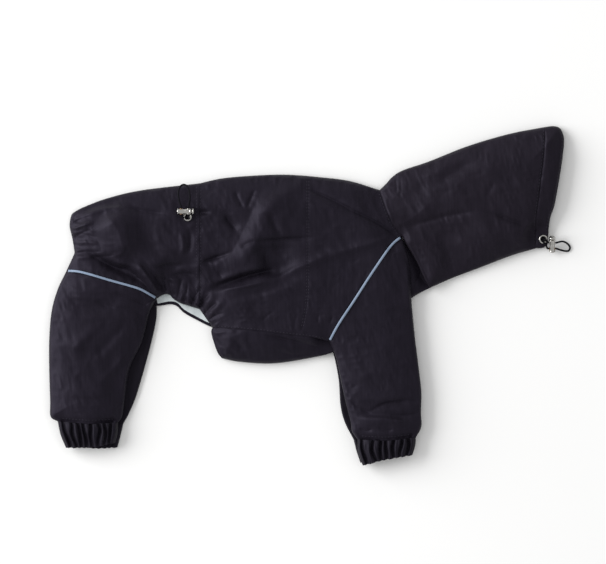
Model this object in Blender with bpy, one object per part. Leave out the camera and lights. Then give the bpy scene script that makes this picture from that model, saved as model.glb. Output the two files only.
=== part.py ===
"""A hooded pet jacket with four legs, laid flat on its left side.

Millimetres on the plan, with +X towards the hood, +Y towards the back and +Z up.
Every panel is a wall of cloth over a patch of the plan: four curved sides give its
cut, and a height law gives its crown, its rolled edges and its folds.
"""

import math

import bmesh
import bpy
import numpy as np
from mathutils import Vector

MM = 0.001
CENTRE = (0.55, 0.75)  # the plan point that becomes the origin

# ---- the cloth ---------------------------------------------------------------
CLOTH = 1.5  # shell, thin wadding and lining together
SEAM_GAP = 0.3
RIM_HEIGHT = 3.2  # where the upper and lower halves meet round the outline
RIM_RADIUS = 3.2
CROWN = 15.0  # how far the upper half stands above its edge roll
CROWN_REACH = 38.0
LEG_FLAT = 4.0  # height of a left leg, pressed flat
SEAM_DIP = 1.2
SEAM_DIP_WIDTH = 3.0
RIM_EASE = 0.1
CORNER_REACH = 12.0  # points nearer than this to a corner move up to make room for it
ROLL_ROWS = (0.9, 3.2)  # first rows of points inside a rolled edge

# ---- outlines: only the points that each edge needs ----------------------------
OUTLINES = {
    "back_rear": ((-259.5, 85), (-256, 92), (-242, 99.5), (-215.5, 109), (-180, 117), (-117, 124.5)),
    "back_front": ((-117, 124.5), (-92, 130), (-57, 133), (-22, 134), (13, 131.5), (48, 127), (81, 117)),
    "hood_top": ((81, 117), (88, 124), (95.5, 132), (107, 139), (135, 148.5), (178, 165.5), (224, 179),
                 (263, 186.5)),
    "casing_top": ((263, 186.5), (272, 187.5), (279, 185.5), (282, 181)),
    "mouth": ((282, 181), (284, 171), (281, 143), (274, 103), (269, 87), (267, 74), (266, 57.5)),
    "casing_bottom": ((253, 53), (260.5, 53.4), (266, 57.5)),
    "casing_seam": ((263, 186.5), (262, 160), (257, 117), (252.5, 80), (253, 53)),
    "hood_bottom": ((136.5, 9.5), (161.5, 20.5), (192, 32), (224.5, 44.5), (253, 53)),
    "neck": ((81, 117), (87.5, 98.5), (95, 80), (105.5, 66)),
    "throat": ((105.5, 66), (110.5, 57), (121.5, 38.5), (131, 18), (136.5, 9.5)),
    "waist": ((-117, 124.5), (-117, 60), (-117, -14)),
    "tail": ((-259.5, 85), (-260, 76.5), (-257, 63.5), (-254.5, 48)),
    "rump": ((-254.5, 48), (-259, 38), (-263.5, 28.3)),
    "hind_seam": ((-263.5, 28.3), (-251, 27.5), (-237.5, 24.3), (-215.5, 17.8), (-193.5, 11.7),
                  (-180.5, 7.2), (-164, -2.2)),
    "opening_rear": ((-164, -2.2), (-159, 0.8), (-154, 2.6), (-149.5, 1.4), (-146, -2.5),
                     (-138.5, -7.2), (-128, -10.6), (-117, -14)),
    "opening_front": ((-117, -14), (-110, -24), (-103, -34)),
    "belly_seam": ((-103, -34), (-56, -37.5), (-21, -42), (7.5, -45), (25.5, -49.5)),
    "fore_seam": ((25.5, -49.5), (36, -30.2), (53.4, -3.8), (70.4, 22.6), (88.3, 49), (97, 59.5),
                  (105.5, 66)),
    "belly_hem": ((-103, -34), (-104, -41), (-98, -60), (-92.5, -68)),
    "belly_fold": ((-92.5, -68), (-72, -72), (-34, -73.5), (13, -66), (28, -62)),
    "chest_fold": ((28, -62), (50.5, -51), (79, -30.5), (116.5, -1.5), (134, 7.5)),
    "chest_end": ((134, 7.5), (129.5, 24), (116, 50)),
    "armpit": ((25.5, -49.5), (45, -36), (70, -12), (95, 17), (107, 41), (116, 50)),
    "fore_left": ((25.5, -49.5), (33, -67), (37.5, -88), (43, -114), (49, -138), (50.5, -148), (56.5, -157)),
    "fore_right": ((105.5, 66), (113.5, 38), (116, -4), (120, -46), (124.5, -82), (127, -106), (126.5, -128),
                   (127, -143), (121, -155)),
    "fore_hem": ((56.5, -157), (88, -158.5), (121, -155)),
    "hind_left": ((-263.5, 28.3), (-273.5, 7), (-280, -17), (-282.5, -48), (-282.5, -80), (-281.5, -115),
                  (-281, -132), (-273, -137.5)),
    "hind_right": ((-164, -2.2), (-168.5, -10), (-172.5, -19), (-180.5, -50), (-194, -79), (-199, -110),
                   (-202, -131), (-206.5, -138.5)),
    "hind_hem": ((-273, -137.5), (-240, -140), (-206.5, -138.5)),
    # the left half, which lies underneath and shows past the right one in places
    "left_waist": ((-117, 124.5), (-117, 60), (-117, -27.5)),
    "left_hind_seam": ((-263.5, 28.3), (-251, 27.2), (-237.5, 23), (-199, 9), (-164, -11)),
    "left_opening_rear": ((-164, -11), (-150, -8.5), (-142, -10.5), (-134, -18), (-117, -27.5)),
    "left_opening_front": ((-117, -27.5), (-110, -31), (-103, -34)),
    "left_fore_left": ((25.5, -49.5), (31, -66), (36, -92), (38, -120), (43, -139), (52.5, -157.5)),
    "left_fore_right": ((105.5, 66), (110, 38), (112, -4), (116, -46), (121, -100), (123, -140), (118, -157)),
    "left_fore_hem": ((52.5, -157.5), (85, -160), (118, -157)),
    "left_hind_left": ((-263.5, 28.3), (-268, 7), (-275, -20), (-278, -60), (-277, -110), (-270, -139)),
    "left_hind_right": ((-164, -11), (-165, -27), (-172, -58), (-186, -107), (-194.5, -128), (-201, -140)),
    "left_hind_hem": ((-270, -139), (-236, -142), (-201, -140)),
    "lining_inner": ((-166, 12), (-140, 14), (-112, 2), (-96, -14)),
    "lining_rear": ((-166, 12), (-165.5, 0), (-164, -11)),
    "lining_front": ((-103, -34), (-100, -24), (-96, -14)),
    # cuffs
    "fore_cuff_left": ((56.5, -157), (57.5, -172), (62.5, -186)),
    "fore_cuff_right": ((121, -155), (120, -165), (117, -174.5)),
    "fore_cuff_end": ((62.5, -186), (86, -180), (117, -174.5)),
    "hind_cuff_left": ((-273, -137.5), (-270, -152), (-264, -166.5)),
    "hind_cuff_right": ((-206.5, -138.5), (-207, -150), (-210, -161)),
    "hind_cuff_end": ((-264, -166.5), (-236, -166), (-210, -161)),
    "left_fore_cuff_left": ((52.5, -157.5), (55.5, -170), (60, -183)),
    "left_fore_cuff_right": ((118, -157), (117, -165), (113, -172)),
    "left_fore_cuff_end": ((60, -183), (86, -177), (113, -172)),
    "left_hind_cuff_left": ((-270, -139), (-266, -152), (-259, -164)),
    "left_hind_cuff_right": ((-201, -140), (-204, -153), (-207.5, -166)),
    "left_hind_cuff_end": ((-259, -164), (-232, -167), (-207.5, -166)),
}

# the rolled edges that the height of the right half is measured from
RIGHT_RIMS = ("back_rear", "back_front", "hood_top", "casing_top", "mouth", "casing_bottom", "hood_bottom",
              "throat", "tail", "rump", "opening_rear", "opening_front", "belly_hem", "belly_fold",
              "fore_left", "fore_right", "hind_left", "hind_right")
BODY_RIMS = tuple(name for name in RIGHT_RIMS if name not in ("hood_top", "hood_bottom", "throat"))
HOOD_RIMS = ("hood_top", "casing_top", "mouth", "casing_bottom", "hood_bottom", "throat", "back_front",
             "fore_right")

# where the right half stands higher or lower than the rest
# plan centre x, y, reach x, y, lift of the edge, change of the crown
HILLS = (
    (75, -70, 68, 105, 7.2, -8.0),  # foreleg, over the left one and the chest panel
    (120, 36, 26, 30, 7.2, -6.0),  # throat, over the chest panel
    (-232, -60, 72, 100, 3.7, -6.0),  # hind leg, over the left one
    (286, 120, 24, 44, 6.0, -2.0),  # face opening, which gapes
    (-140, 8, 26, 20, 1.2, -5.0),  # belly opening
    (260, 62, 15, 17, 0.0, -12.0),  # hood eyelet, where the casing lies flat
)
HILL_INNER = 0.95
HILL_OUTER = 1.35

# folds of the right half: start, middle and end on the plan, height, half width
FOLDS = (
    ((-92, 36), (-66, 56), (-64, 88), 5.0, 9.0),
    ((-66, 82), (-58, 114), (-12, 121), 3.2, 8.0),
    ((-112, 4), (-92, 16), (-38, 28), -4.6, 5.0),
    ((-56, 56), (-46, 42), (-38, 28), -3.4, 9.0),
    ((-64, 60), (-30, 61), (9, 64), -1.6, 4.0),
    ((0, 117), (52, 96), (103, 66), -1.8, 4.0),
    ((-42, 22), (10, 44), (98, 67), 2.2, 6.0),
    ((-92, 10), (-40, 10), (4, 36), 1.6, 7.0),
    ((-90, 112), (-84, 98), (-77, 88), -2.2, 5.0),
    ((-114, 32), (-104, 42), (-90, 46), -2.2, 4.5),
    ((-243, 74), (-222, 92), (-198, 101), 2.6, 6.0),
    ((-205, 99), (-199, 70), (-203, 46), 3.2, 7.0),
    ((-232, 57), (-214, 34), (-172, 12), -4.0, 5.5),
    ((-190, 40), (-172, 24), (-152, 5), 2.6, 5.0),
    ((-199, 99), (-176, 92), (-150, 91), -2.2, 4.5),
    ((-150, 40), (-134, 28), (-118, 10), -3.0, 8.0),
    ((202, 155), (165, 146), (124, 110), -1.8, 5.5),
    ((109, 76), (150, 90), (191, 94), -1.4, 5.0),
    ((204, 94), (226, 82), (250, 75), -1.8, 4.5),
    ((99, 130), (104, 118), (102, 104), -2.0, 4.0),
    ((118, 118), (122, 132), (140, 140), 1.6, 6.0),
    ((54, -114), (84, -126), (124, -114), -2.2, 5.0),
    ((60, -138), (92, -132), (122, -142), 1.6, 5.0),
    ((-258, -60), (-240, -50), (-214, -34), 1.6, 8.0),
    ((-262, -96), (-240, -110), (-210, -104), 1.4, 8.0),
    ((-82, -44), (-76, -54), (-66, -60), -2.0, 5.0),
    ((-48, -42), (-12, -50), (22, -58), -2.0, 4.0),
)
FOLD_CLEAR = 7.0  # folds fade out this near a rolled edge

# gathers that fan out of an elastic edge
# centre x, y, first and last direction (degrees), radius, reach, waves, height
GATHERS = (
    (-128, -46, 44, 122, 38, 15, 7, 1.3),
    (-330, 66, -16, 20, 74, 16, 5, 1.1),
)

SEAMS = ("waist", "neck", "fore_seam", "hind_seam", "belly_seam", "casing_seam")
HEMS = ("fore_hem", "hind_hem")
HEM_DIP = 5.0
HEM_DIP_WIDTH = 9.0

# the belly and chest panel: x of each section, its lowest point, the top of the part under the leg
BELLY_SECTIONS = ((-103, 0.0, 7.7), (4, 0.0, 7.7), (24, 4.3, 7.7), (108, 4.3, 7.7), (122, 4.3, 7.9),
                  (137, 3.6, 7.4))
UNDER_START = 4  # from here to UNDER_FULL the panel slips under the leg
UNDER_FULL = 26
CHEST_START = (28, -62)  # the panel's lower edge under the leg, taken straight
CHEST_END = (125, 3)
CHEST_PLIES = 7.7  # top of the two chest plies where the right foreleg lies on them

CUFF_WAVES = 8
CUFF_WAVE_HEIGHT = 1.1
CUFF_CROWN = 3.0
CUFF_RADIUS = 3.0
CUFF_ROWS = 3

PIPING_SECTION = ((-1.3, 0.0), (-1.1, 1.0), (-0.5, 1.6), (0.5, 1.6), (1.1, 1.0), (1.3, 0.0))
PIPING_LIFT = 0.45  # of its underside, from the cloth beside the seam
PIPING_ROWS = 20
PIPING_ENDS = 2.0  # how far it stops short of the seam's ends

LINING = 1.0
LINING_HEM = 2.2  # the left half's hem shows this far past the lining

EYELET_PROFILE = ((2.7, 0.0), (4.9, 0.0), (4.9, 0.7), (4.2, 1.5), (3.2, 1.5), (2.7, 0.8))  # radius, height
EYELET_SIDES = 18
EYELET_LIFT = 0.4
WAIST_EYELET = (-131.5, 84.5)
HOOD_EYELET = (260.5, 62.0)
EYELET_CLEAR = 9.0  # folds fade out this near an eyelet

CORD = 2.0
CORD_STEP = 4.4  # between the points of a cord
LOCK_PROFILE = ((0, 0), (3.5, 0), (3.5, 1.2), (2.9, 1.8), (2.9, 13.4), (3.3, 13.8), (3.3, 15.0), (0, 15.0))
PLUNGER_PROFILE = ((0, 0), (1.8, 0), (1.8, 0.8), (3.4, 1.4), (3.4, 2.6), (2.6, 3.2), (0, 3.2))
LOCK_SIDES = 14
LOCK_BORE = 3.2
LOCK_LEGS = 7.4  # between the two cord holes
LOCK_RADIUS = 3.5
WAIST_LOCK = (-134.2, 93.5)
HOOD_LOCK = (270.8, 56.0)
HOOD_LOCK_FOOT = 3.6  # height of its axis at the end that rests on the ground
HOOD_LOCK_LEAN = math.radians(28)

COLOURS = {
    "shell": (0.016, 0.014, 0.019, 1), "hood": (0.017, 0.014, 0.020, 1), "lining": (0.60, 0.64, 0.68, 1),
    "piping": (0.30, 0.38, 0.50, 1), "cord": (0.010, 0.010, 0.011, 1), "metal": (0.62, 0.60, 0.56, 1),
    "elastic": (0.012, 0.011, 0.014, 1),
}


# pieces along each outline, and whether its rows are close at its start and end; a seam that two
# panels share has one entry, so that their edges match
PIECES = {
    "opening_front": (4, True, False), "belly_seam": (19, True, True), "back_front": (23, False, False),
    "waist": (21, True, True), "fore_seam": (14, True, True), "neck": (7, True, True),
    "hind_seam": (12, True, True), "opening_rear": (11, False, False), "back_rear": (23, True, False),
    "tail": (13, True, False), "rump": (8, False, False),
    "hood_bottom": (18, True, False), "hood_top": (18, True, False), "throat": (8, False, True),
    "casing_seam": (15, True, True), "mouth": (15, True, True), "casing_bottom": (4, False, True),
    "casing_top": (4, False, True), "fore_hem": (14, True, True), "hind_hem": (12, True, True),
    "fore_left": (13, False, False), "fore_right": (13, False, False), "hind_left": (13, False, False),
    "hind_right": (13, False, False),
    "belly_fold": (19, False, False), "chest_fold": (10, False, False), "chest_end": (7, True, False),
    "belly_hem": (7, False, True), "armpit": (10, False, False),
}
LEFT_PIECES = {
    "left_opening_front": (2, False, False), "belly_seam": (10, False, False),
    "back_front": (12, False, False), "left_waist": (13, True, False), "fore_seam": (9, True, True),
    "neck": (4, True, False), "left_hind_seam": (7, True, True), "left_opening_rear": (5, False, False),
    "back_rear": (12, True, False), "tail": (7, True, False), "rump": (6, False, False),
    "hood_bottom": (13, False, False), "hood_top": (13, False, False), "throat": (6, False, True),
    "casing_seam": (10, True, True), "mouth": (10, True, True), "casing_bottom": (3, False, False),
    "casing_top": (3, False, False), "left_fore_hem": (9, True, True), "left_hind_hem": (7, True, True),
    "left_fore_left": (9, False, False), "left_fore_right": (9, False, False),
    "left_hind_left": (9, False, False), "left_hind_right": (9, False, False),
    "lining_inner": (7, False, False), "lining_rear": (2, False, False), "lining_front": (2, False, False),
}
UNDER_LEG = {"fore_seam": (9, True, True), "fore_hem": (9, True, True), "hind_seam": (9, True, True),
             "hind_hem": (9, True, True)}
UNDER_BELLY = {"chest_end": (5, True, False), "belly_hem": (5, False, True)}


# ---- curves ------------------------------------------------------------------
def smooth(points, per_span=14):
    """A curve through the points (Catmull-Rom), as many short straight runs."""
    p = np.array(points, float)
    p = np.vstack([2 * p[0] - p[1], p, 2 * p[-1] - p[-2]])
    t = np.linspace(0, 1, per_span, endpoint=False)[:, None]
    runs = []
    for a, b, c, d in zip(p, p[1:], p[2:], p[3:]):
        runs.append(0.5 * (2 * b + (c - a) * t + (2 * a - 5 * b + 4 * c - d) * t ** 2
                           + (3 * b - a - 3 * c + d) * t ** 3))
    return np.vstack(runs + [p[-2:-1]])


CURVES = {name: smooth(points) for name, points in OUTLINES.items()}


def curve(name):
    """The named outline; a leading minus sign reverses it."""
    return CURVES[name[1:]][::-1] if name[0] == "-" else CURVES[name]


def length_along(line):
    return np.concatenate([[0], np.cumsum(np.linalg.norm(np.diff(line, axis=0), axis=1))])


def at_fractions(line, fractions):
    along = length_along(line)
    return np.stack([np.interp(fractions * along[-1], along, line[:, k]) for k in range(line.shape[1])], 1)


def distance_to(points, lines):
    """The distance from each point to the nearest of the lines."""
    best = np.full(len(points), 1e9)
    for line in lines:
        a, d = line[:-1], np.diff(line, axis=0)
        size = np.maximum((d * d).sum(1), 1e-9)
        t = np.clip(((points[:, None] - a) * d).sum(2) / size, 0, 1)
        best = np.minimum(best, np.linalg.norm(points[:, None] - a - t[..., None] * d, axis=2).min(1))
    return best


def step(t):
    t = np.clip(t, 0, 1)
    return t * t * (3 - 2 * t)


# ---- plan patches --------------------------------------------------------------
def spacing(length, count, fine_start, fine_end):
    """Fractions along a side, with close rows just inside a rolled edge."""
    start = [0.0] + [r for r in ROLL_ROWS if fine_start]
    end = [length - r for r in reversed(ROLL_ROWS) if fine_end] + [length]
    middle = count + 1 - len(start) - len(end)
    inner = np.linspace(start[-1], end[0], middle + 2)[1:-1]
    return np.concatenate([start, inner, end]) / length


def normals_of(line):
    """Unit normals to the left of a line's own direction."""
    d = np.gradient(line, axis=0)
    d /= np.linalg.norm(d, axis=1)[:, None]
    return np.stack([-d[:, 1], d[:, 0]], 1)


def crossing(a, b, corner):
    """Where two lines cross, nearest to the corner that they share."""
    p, r = a[:-1, None], np.diff(a, axis=0)[:, None]
    q, s = b[None, :-1], np.diff(b, axis=0)[None]
    det = r[..., 0] * s[..., 1] - r[..., 1] * s[..., 0]
    det = np.where(np.abs(det) < 1e-9, 1e-9, det)
    t = ((q - p)[..., 0] * s[..., 1] - (q - p)[..., 1] * s[..., 0]) / det
    u = ((q - p)[..., 0] * r[..., 1] - (q - p)[..., 1] * r[..., 0]) / det
    hit = (t >= 0) & (t <= 1) & (u >= 0) & (u <= 1)
    if not hit.any():
        return None
    found = (p + t[..., None] * r)[hit]
    return found[np.linalg.norm(found - corner, axis=1).argmin()]


def extended(line, by):
    head, tail = line[0] - line[1], line[-1] - line[-2]
    head, tail = head / np.linalg.norm(head), tail / np.linalg.norm(tail)
    return np.vstack([line[0] + head * by, line, line[-1] + tail * by])


def corner_places(lines, insets):
    """Where each line of a closed loop meets the one before, once each is moved in by its inset."""
    moved = [extended(line + normals_of(line) * by, 4 * CLOTH) for line, by in zip(lines, insets)]
    corners = []
    for i, line in enumerate(lines):
        by = max(insets[i - 1], insets[i])
        lean = normals_of(lines[i - 1])[-1] + normals_of(line)[0]
        plain = line[0] + lean / max(np.linalg.norm(lean), 0.3) * by
        met = crossing(moved[i - 1], moved[i], line[0]) if by > 0 else line[0]
        far = met is None or np.linalg.norm(met - line[0]) > 3.2 * by + 0.05
        corners.append(plain if far else met)
    return corners


def moved_samples(line, fractions, inset, start, end):
    """Points along a line, moved in by its inset; those near its ends give way to the corners."""
    along, length = length_along(line), length_along(line)[-1]
    reach = min(CORNER_REACH, length / 2)
    unit_in, unit_out = line[1] - line[0], line[-1] - line[-2]
    trim_in = (start - line[0]) @ unit_in / np.linalg.norm(unit_in)
    trim_out = (line[-1] - end) @ unit_out / np.linalg.norm(unit_out)
    s = fractions * length
    s = s + trim_in * np.maximum(1 - s / reach, 0) - trim_out * np.maximum(1 - (length - s) / reach, 0)
    offset = line + normals_of(line) * inset
    points = np.stack([np.interp(s, along, offset[:, k]) for k in range(2)], 1)
    points[0], points[-1] = start, end
    return points


def patch(sides, insets, pieces):
    """Plan points of a four-sided patch, [row from bottom to top, column from left to right].

    sides is (bottom, right, top, left), anticlockwise, each a list of (curve, kind of edge).
    insets says how far each kind of edge is moved in, and pieces divides each curve.
    """
    flat = [stretch for side in sides for stretch in side]
    lines = [curve(name) for name, _ in flat]
    by = [insets[kind] for _, kind in flat]
    corners = corner_places(lines, by)
    edges, k = [], 0
    for side in sides:
        points = []
        for name, _ in side:
            count, fine_start, fine_end = pieces[name.lstrip("-")]
            fractions = spacing(length_along(lines[k])[-1], count, fine_start, fine_end)
            if name[0] == "-":
                fractions = 1 - fractions[::-1]
            ends = corners[k], corners[(k + 1) % len(corners)]
            points.append(moved_samples(lines[k], fractions, by[k], *ends)[:-1])
            k += 1
        edges.append(np.vstack(points))
    bottom, right, top, left = edges
    bottom = np.vstack([bottom, right[:1]])
    right = np.vstack([right, top[:1]])
    top = np.vstack([top, left[:1]])[::-1]
    left = np.vstack([left, bottom[:1]])[::-1]
    return coons(bottom, right, top, left)


def coons(bottom, right, top, left):
    """The blend of four sides whose ends meet, as rows of points."""
    def parameter(a, b):
        return (length_along(a) / length_along(a)[-1] + length_along(b) / length_along(b)[-1]) / 2

    u, v = parameter(bottom, top)[None, :, None], parameter(left, right)[:, None, None]
    ruled = (1 - v) * bottom[None] + v * top[None] + (1 - u) * left[:, None] + u * right[:, None]
    corners = ((1 - u) * (1 - v) * bottom[0] + u * (1 - v) * bottom[-1]
               + (1 - u) * v * top[0] + u * v * top[-1])
    return ruled - corners


def edge_mask(shape, sides, pieces):
    """Which points of a patch lie on a rolled edge."""
    mask = np.zeros(shape, bool)
    rows, columns = shape
    places = [
        [(0, c) for c in range(columns)],
        [(r, columns - 1) for r in range(rows)],
        [(rows - 1, c) for c in reversed(range(columns))],
        [(r, 0) for r in reversed(range(rows))],
    ]
    for side, place in zip(sides, places):
        k = 0
        for name, kind in side:
            count = pieces[name.lstrip("-")][0]
            if kind == "rim":
                for r, c in place[k : k + count + 1]:
                    mask[r, c] = True
            k += count
    return mask


# ---- heights -------------------------------------------------------------------
def hill_weights(p):
    for x, y, reach_x, reach_y, lift, crown in HILLS:
        far = np.hypot((p[:, 0] - x) / reach_x, (p[:, 1] - y) / reach_y)
        yield step((HILL_OUTER - far) / (HILL_OUTER - HILL_INNER)), lift, crown


def rim_height(p):
    """Height of the line where the two halves meet."""
    lift = np.zeros(len(p))
    for weight, most, _ in hill_weights(p):
        lift = np.maximum(lift, weight * most)
    return RIM_HEIGHT + lift


def crown_height(p):
    change = np.zeros(len(p))
    for weight, _, most in hill_weights(p):
        change = np.minimum(change, weight * most)
    return CROWN + change


def fold_height(p):
    total = np.zeros(len(p))
    s = np.linspace(0, 1, 25)
    for start, middle, end, height, width in FOLDS:
        a, b, c = (np.array(q, float) for q in (start, middle, end))
        spine = (1 - s)[:, None] ** 2 * a + (2 * s * (1 - s))[:, None] * b + (s ** 2)[:, None] * c
        near = np.linalg.norm(p[:, None] - spine, axis=2)
        i = near.argmin(1)
        fade = np.sqrt(np.clip(4 * s[i] * (1 - s[i]), 0, 1))
        total += height * fade * np.exp(-((near.min(1) / width) ** 2))
    return total


def gather_height(p):
    total = np.zeros(len(p))
    for x, y, first, last, radius, reach, waves, height in GATHERS:
        far = np.hypot(p[:, 0] - x, p[:, 1] - y)
        turn = np.degrees(np.arctan2(p[:, 1] - y, p[:, 0] - x))
        share = (turn - first) / (last - first)
        side = step(share * 6 + 0.3) * step((1 - share) * 6 + 0.3)
        fade = np.exp(-(((far - radius) / reach) ** 2)) * side
        total += height * fade * np.cos(2 * math.pi * waves * share + 0.6 * np.sin(9 * share))
    return total


def eyelet_clear(p):
    near = np.minimum(*(np.hypot(p[:, 0] - x, p[:, 1] - y) for x, y in (WAIST_EYELET, HOOD_EYELET)))
    return step((near - EYELET_CLEAR / 2) / EYELET_CLEAR)


def seam_dip(p):
    dip = SEAM_DIP * np.exp(-((distance_to(p, [CURVES[n] for n in SEAMS]) / SEAM_DIP_WIDTH) ** 2))
    near = distance_to(p, [CURVES[n] for n in HEMS])
    return dip + HEM_DIP * np.exp(-((near / HEM_DIP_WIDTH) ** 2))


def roll(radius, depth, delta):
    """Rise of a quarter-round edge at delta inside it; depth is 0 outside the wall, CLOTH inside it."""
    across = np.maximum(radius - delta, 0)
    return np.sqrt(np.maximum((radius - depth) ** 2 - across ** 2, 0))


def right_top(p, depth=0.0, rims=BODY_RIMS):
    """Upper surface of the right half."""
    delta = distance_to(p, [CURVES[name] for name in rims])
    share = np.clip(delta / CROWN_REACH, 0, 1)
    crown = crown_height(p) * (1 - (1 - share) ** 2)
    loose = fold_height(p) * step(delta / FOLD_CLEAR) * eyelet_clear(p)
    dip = seam_dip(p) * step(delta / FOLD_CLEAR)
    return (rim_height(p) + SEAM_GAP / 2 + roll(RIM_RADIUS, depth, delta) + crown + loose - dip
            + gather_height(p))


def hood_top(p, depth=0.0):
    return right_top(p, depth, HOOD_RIMS)


def floor_bottom(p, depth, rims):
    """Underside of a lower panel: flat on the ground, rolled up to meet the upper half."""
    if not rims:
        return np.full(len(p), depth)
    delta = distance_to(p, [CURVES[name] for name in rims])
    radius = lower_rim(p)
    return radius - roll(radius, depth, delta)


def flat_leg_top(p, depth, rims):
    delta = distance_to(p, [CURVES[name] for name in rims])
    return LEG_FLAT / 2 + roll(LEG_FLAT / 2, depth, delta)


def flat_leg_bottom(p, depth, rims):
    delta = distance_to(p, [CURVES[name] for name in rims])
    return LEG_FLAT / 2 - roll(LEG_FLAT / 2, depth, delta)


def leg_support(p):
    """What the underside of a right leg rests on: the left leg, and the chest panel near the top."""
    start, end = np.array(CHEST_START, float), np.array(CHEST_END, float)
    along = (end - start) / np.linalg.norm(end - start)
    above = (p - start) @ np.array((-along[1], along[0]))
    chest = step((above + 22) / 10) * (p[:, 0] > 0)
    support = LEG_FLAT + SEAM_GAP + chest * (CHEST_PLIES - LEG_FLAT)
    return np.minimum(support, rim_height(p) + SEAM_GAP / 2 - 2.2)


def right_leg_bottom(p, depth, rims):
    delta = distance_to(p, [CURVES[name] for name in rims])
    rim = rim_height(p) + SEAM_GAP / 2
    return rim - roll(rim - leg_support(p), depth, delta)


def belly_section(p):
    x, low, top = np.array(BELLY_SECTIONS).T
    return np.interp(p[:, 0], x, low), np.interp(p[:, 0], x, top)


def belly_rim(p):
    low, top = belly_section(p)
    under = step((p[:, 0] - UNDER_START) / (UNDER_FULL - UNDER_START))
    return (1 - under) * RIM_HEIGHT + under * (low + top) / 2


def belly_top(p, depth, rims):
    low, top = belly_section(p)
    under = step((p[:, 0] - UNDER_START) / (UNDER_FULL - UNDER_START))
    delta = distance_to(p, [CURVES[name] for name in rims])
    radius = RIM_RADIUS * (1 - under) + (top - low) / 2 * under
    flat = belly_rim(p) + roll(radius, depth, delta)
    seen = right_top(p, depth) - rim_height(p) - SEAM_GAP / 2 - roll(RIM_RADIUS, depth, delta)
    lift = (rim_height(p) - belly_rim(p)) * step(delta / 25)
    return flat + (1 - under) * (np.maximum(seen, 0) + lift)


def belly_bottom(p, depth, rims):
    low, _ = belly_section(p)
    delta = distance_to(p, [CURVES[name] for name in rims])
    radius = belly_rim(p) - low
    return belly_rim(p) - roll(radius, depth, delta)


def cuff_wave(p, left, right):
    """Gathers across a cuff, fading at its two folded sides."""
    to_left, to_right = distance_to(p, [CURVES[left]]), distance_to(p, [CURVES[right]])
    share = to_left / np.maximum(to_left + to_right, 1e-6)
    wave = np.cos(2 * math.pi * CUFF_WAVES * (share + 0.010 * np.sin(2 * math.pi * 3 * share)))
    return CUFF_WAVE_HEIGHT * wave * step(np.minimum(to_left, to_right) / 4)


# ---- solids --------------------------------------------------------------------
def edge_insets(depth, pieces):
    """How far each kind of edge lies inside its outline; the coarser left half parts a little more."""
    return {"rim": depth, "seam": SEAM_GAP if pieces is LEFT_PIECES else SEAM_GAP / 2, "edge": 0.0}


def new_object(name, points, faces, colour, metallic=0.0, roughness=0.6):
    """An object from plan points in millimetres and its faces, turned outwards."""
    place = (np.asarray(points, float) - (*CENTRE, 0)) * MM
    mesh = bpy.data.meshes.new(name)
    mesh.from_pydata([tuple(p) for p in place], [], [tuple(int(i) for i in f) for f in faces])
    work = bmesh.new()
    work.from_mesh(mesh)
    bmesh.ops.recalc_face_normals(work, faces=work.faces)
    work.to_mesh(mesh)
    work.free()
    return add(name, mesh, colour, metallic, roughness)


def add(name, data, colour, metallic=0.0, roughness=0.6):
    item = bpy.data.objects.new(name, data)
    bpy.context.scene.collection.objects.link(item)
    material = bpy.data.materials.new(name)
    material.use_nodes = True
    surface = material.node_tree.nodes["Principled BSDF"]
    surface.inputs["Base Color"].default_value = COLOURS[colour]
    surface.inputs["Metallic"].default_value = metallic
    surface.inputs["Roughness"].default_value = roughness
    data.materials.append(material)
    return item


def grid_faces(index):
    """Quads between neighbouring entries of a table of point numbers."""
    a, b, c, d = index[:-1, :-1], index[:-1, 1:], index[1:, 1:], index[1:, :-1]
    return np.stack([a, b, c, d], -1).reshape(-1, 4).tolist()


def wall_faces(outer, inner):
    """Faces of a wall between two tables of point numbers, with its four side strips."""
    faces = grid_faces(outer) + grid_faces(inner[:, ::-1])
    for take in (lambda t: t[0], lambda t: t[-1], lambda t: t[:, 0], lambda t: t[:, -1]):
        faces += grid_faces(np.stack([take(outer), take(inner)]))
    return faces


def panel(name, sides, height, rim, pieces, colour="shell"):
    """One ply of cloth; height(points, depth) is its outer (0) or inner (CLOTH) surface."""
    skins = []
    for depth in (0.0, CLOTH):
        plan = patch(sides, edge_insets(depth, pieces), pieces)
        flat = plan.reshape(-1, 2)
        z = height(flat, depth)
        on_rim = edge_mask(plan.shape[:2], sides, pieces).ravel()
        z[on_rim] = rim(flat[on_rim])
        skins.append(np.column_stack([flat, z]))
    shape = plan.shape[:2]
    outer = np.arange(shape[0] * shape[1]).reshape(shape)
    return new_object(name, np.vstack(skins), wall_faces(outer, outer + outer.size), colour)


def tube(name, sides, top, bottom, rim, top_pieces, bottom_pieces, colour="shell"):
    """Two plies joined along the left and right sides, open at the other two."""
    skins = []
    for depth in (0.0, CLOTH):
        plies = []
        for height, pieces in ((top, top_pieces), (bottom, bottom_pieces)):
            plan = patch(sides, edge_insets(depth, pieces), pieces)
            z = height(plan.reshape(-1, 2), depth).reshape(plan.shape[:2])
            for column in (0, -1):
                z[:, column] = rim(plan[:, column])
            plies.append(np.dstack([plan, z]))
        skins.append(np.concatenate([plies[0], plies[1][:, -2:0:-1]], axis=1))
    count = skins[0].shape[:2]
    outer = np.arange(count[0] * count[1]).reshape(count)
    inner = outer + outer.size
    outer, inner = (np.hstack([t, t[:, :1]]) for t in (outer, inner))
    faces = grid_faces(outer) + grid_faces(inner[:, ::-1])
    for row in (0, -1):
        faces += grid_faces(np.stack([outer[row], inner[row]]))
    points = np.vstack([skin.reshape(-1, 3) for skin in skins])
    return new_object(name, points, faces, colour)


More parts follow.
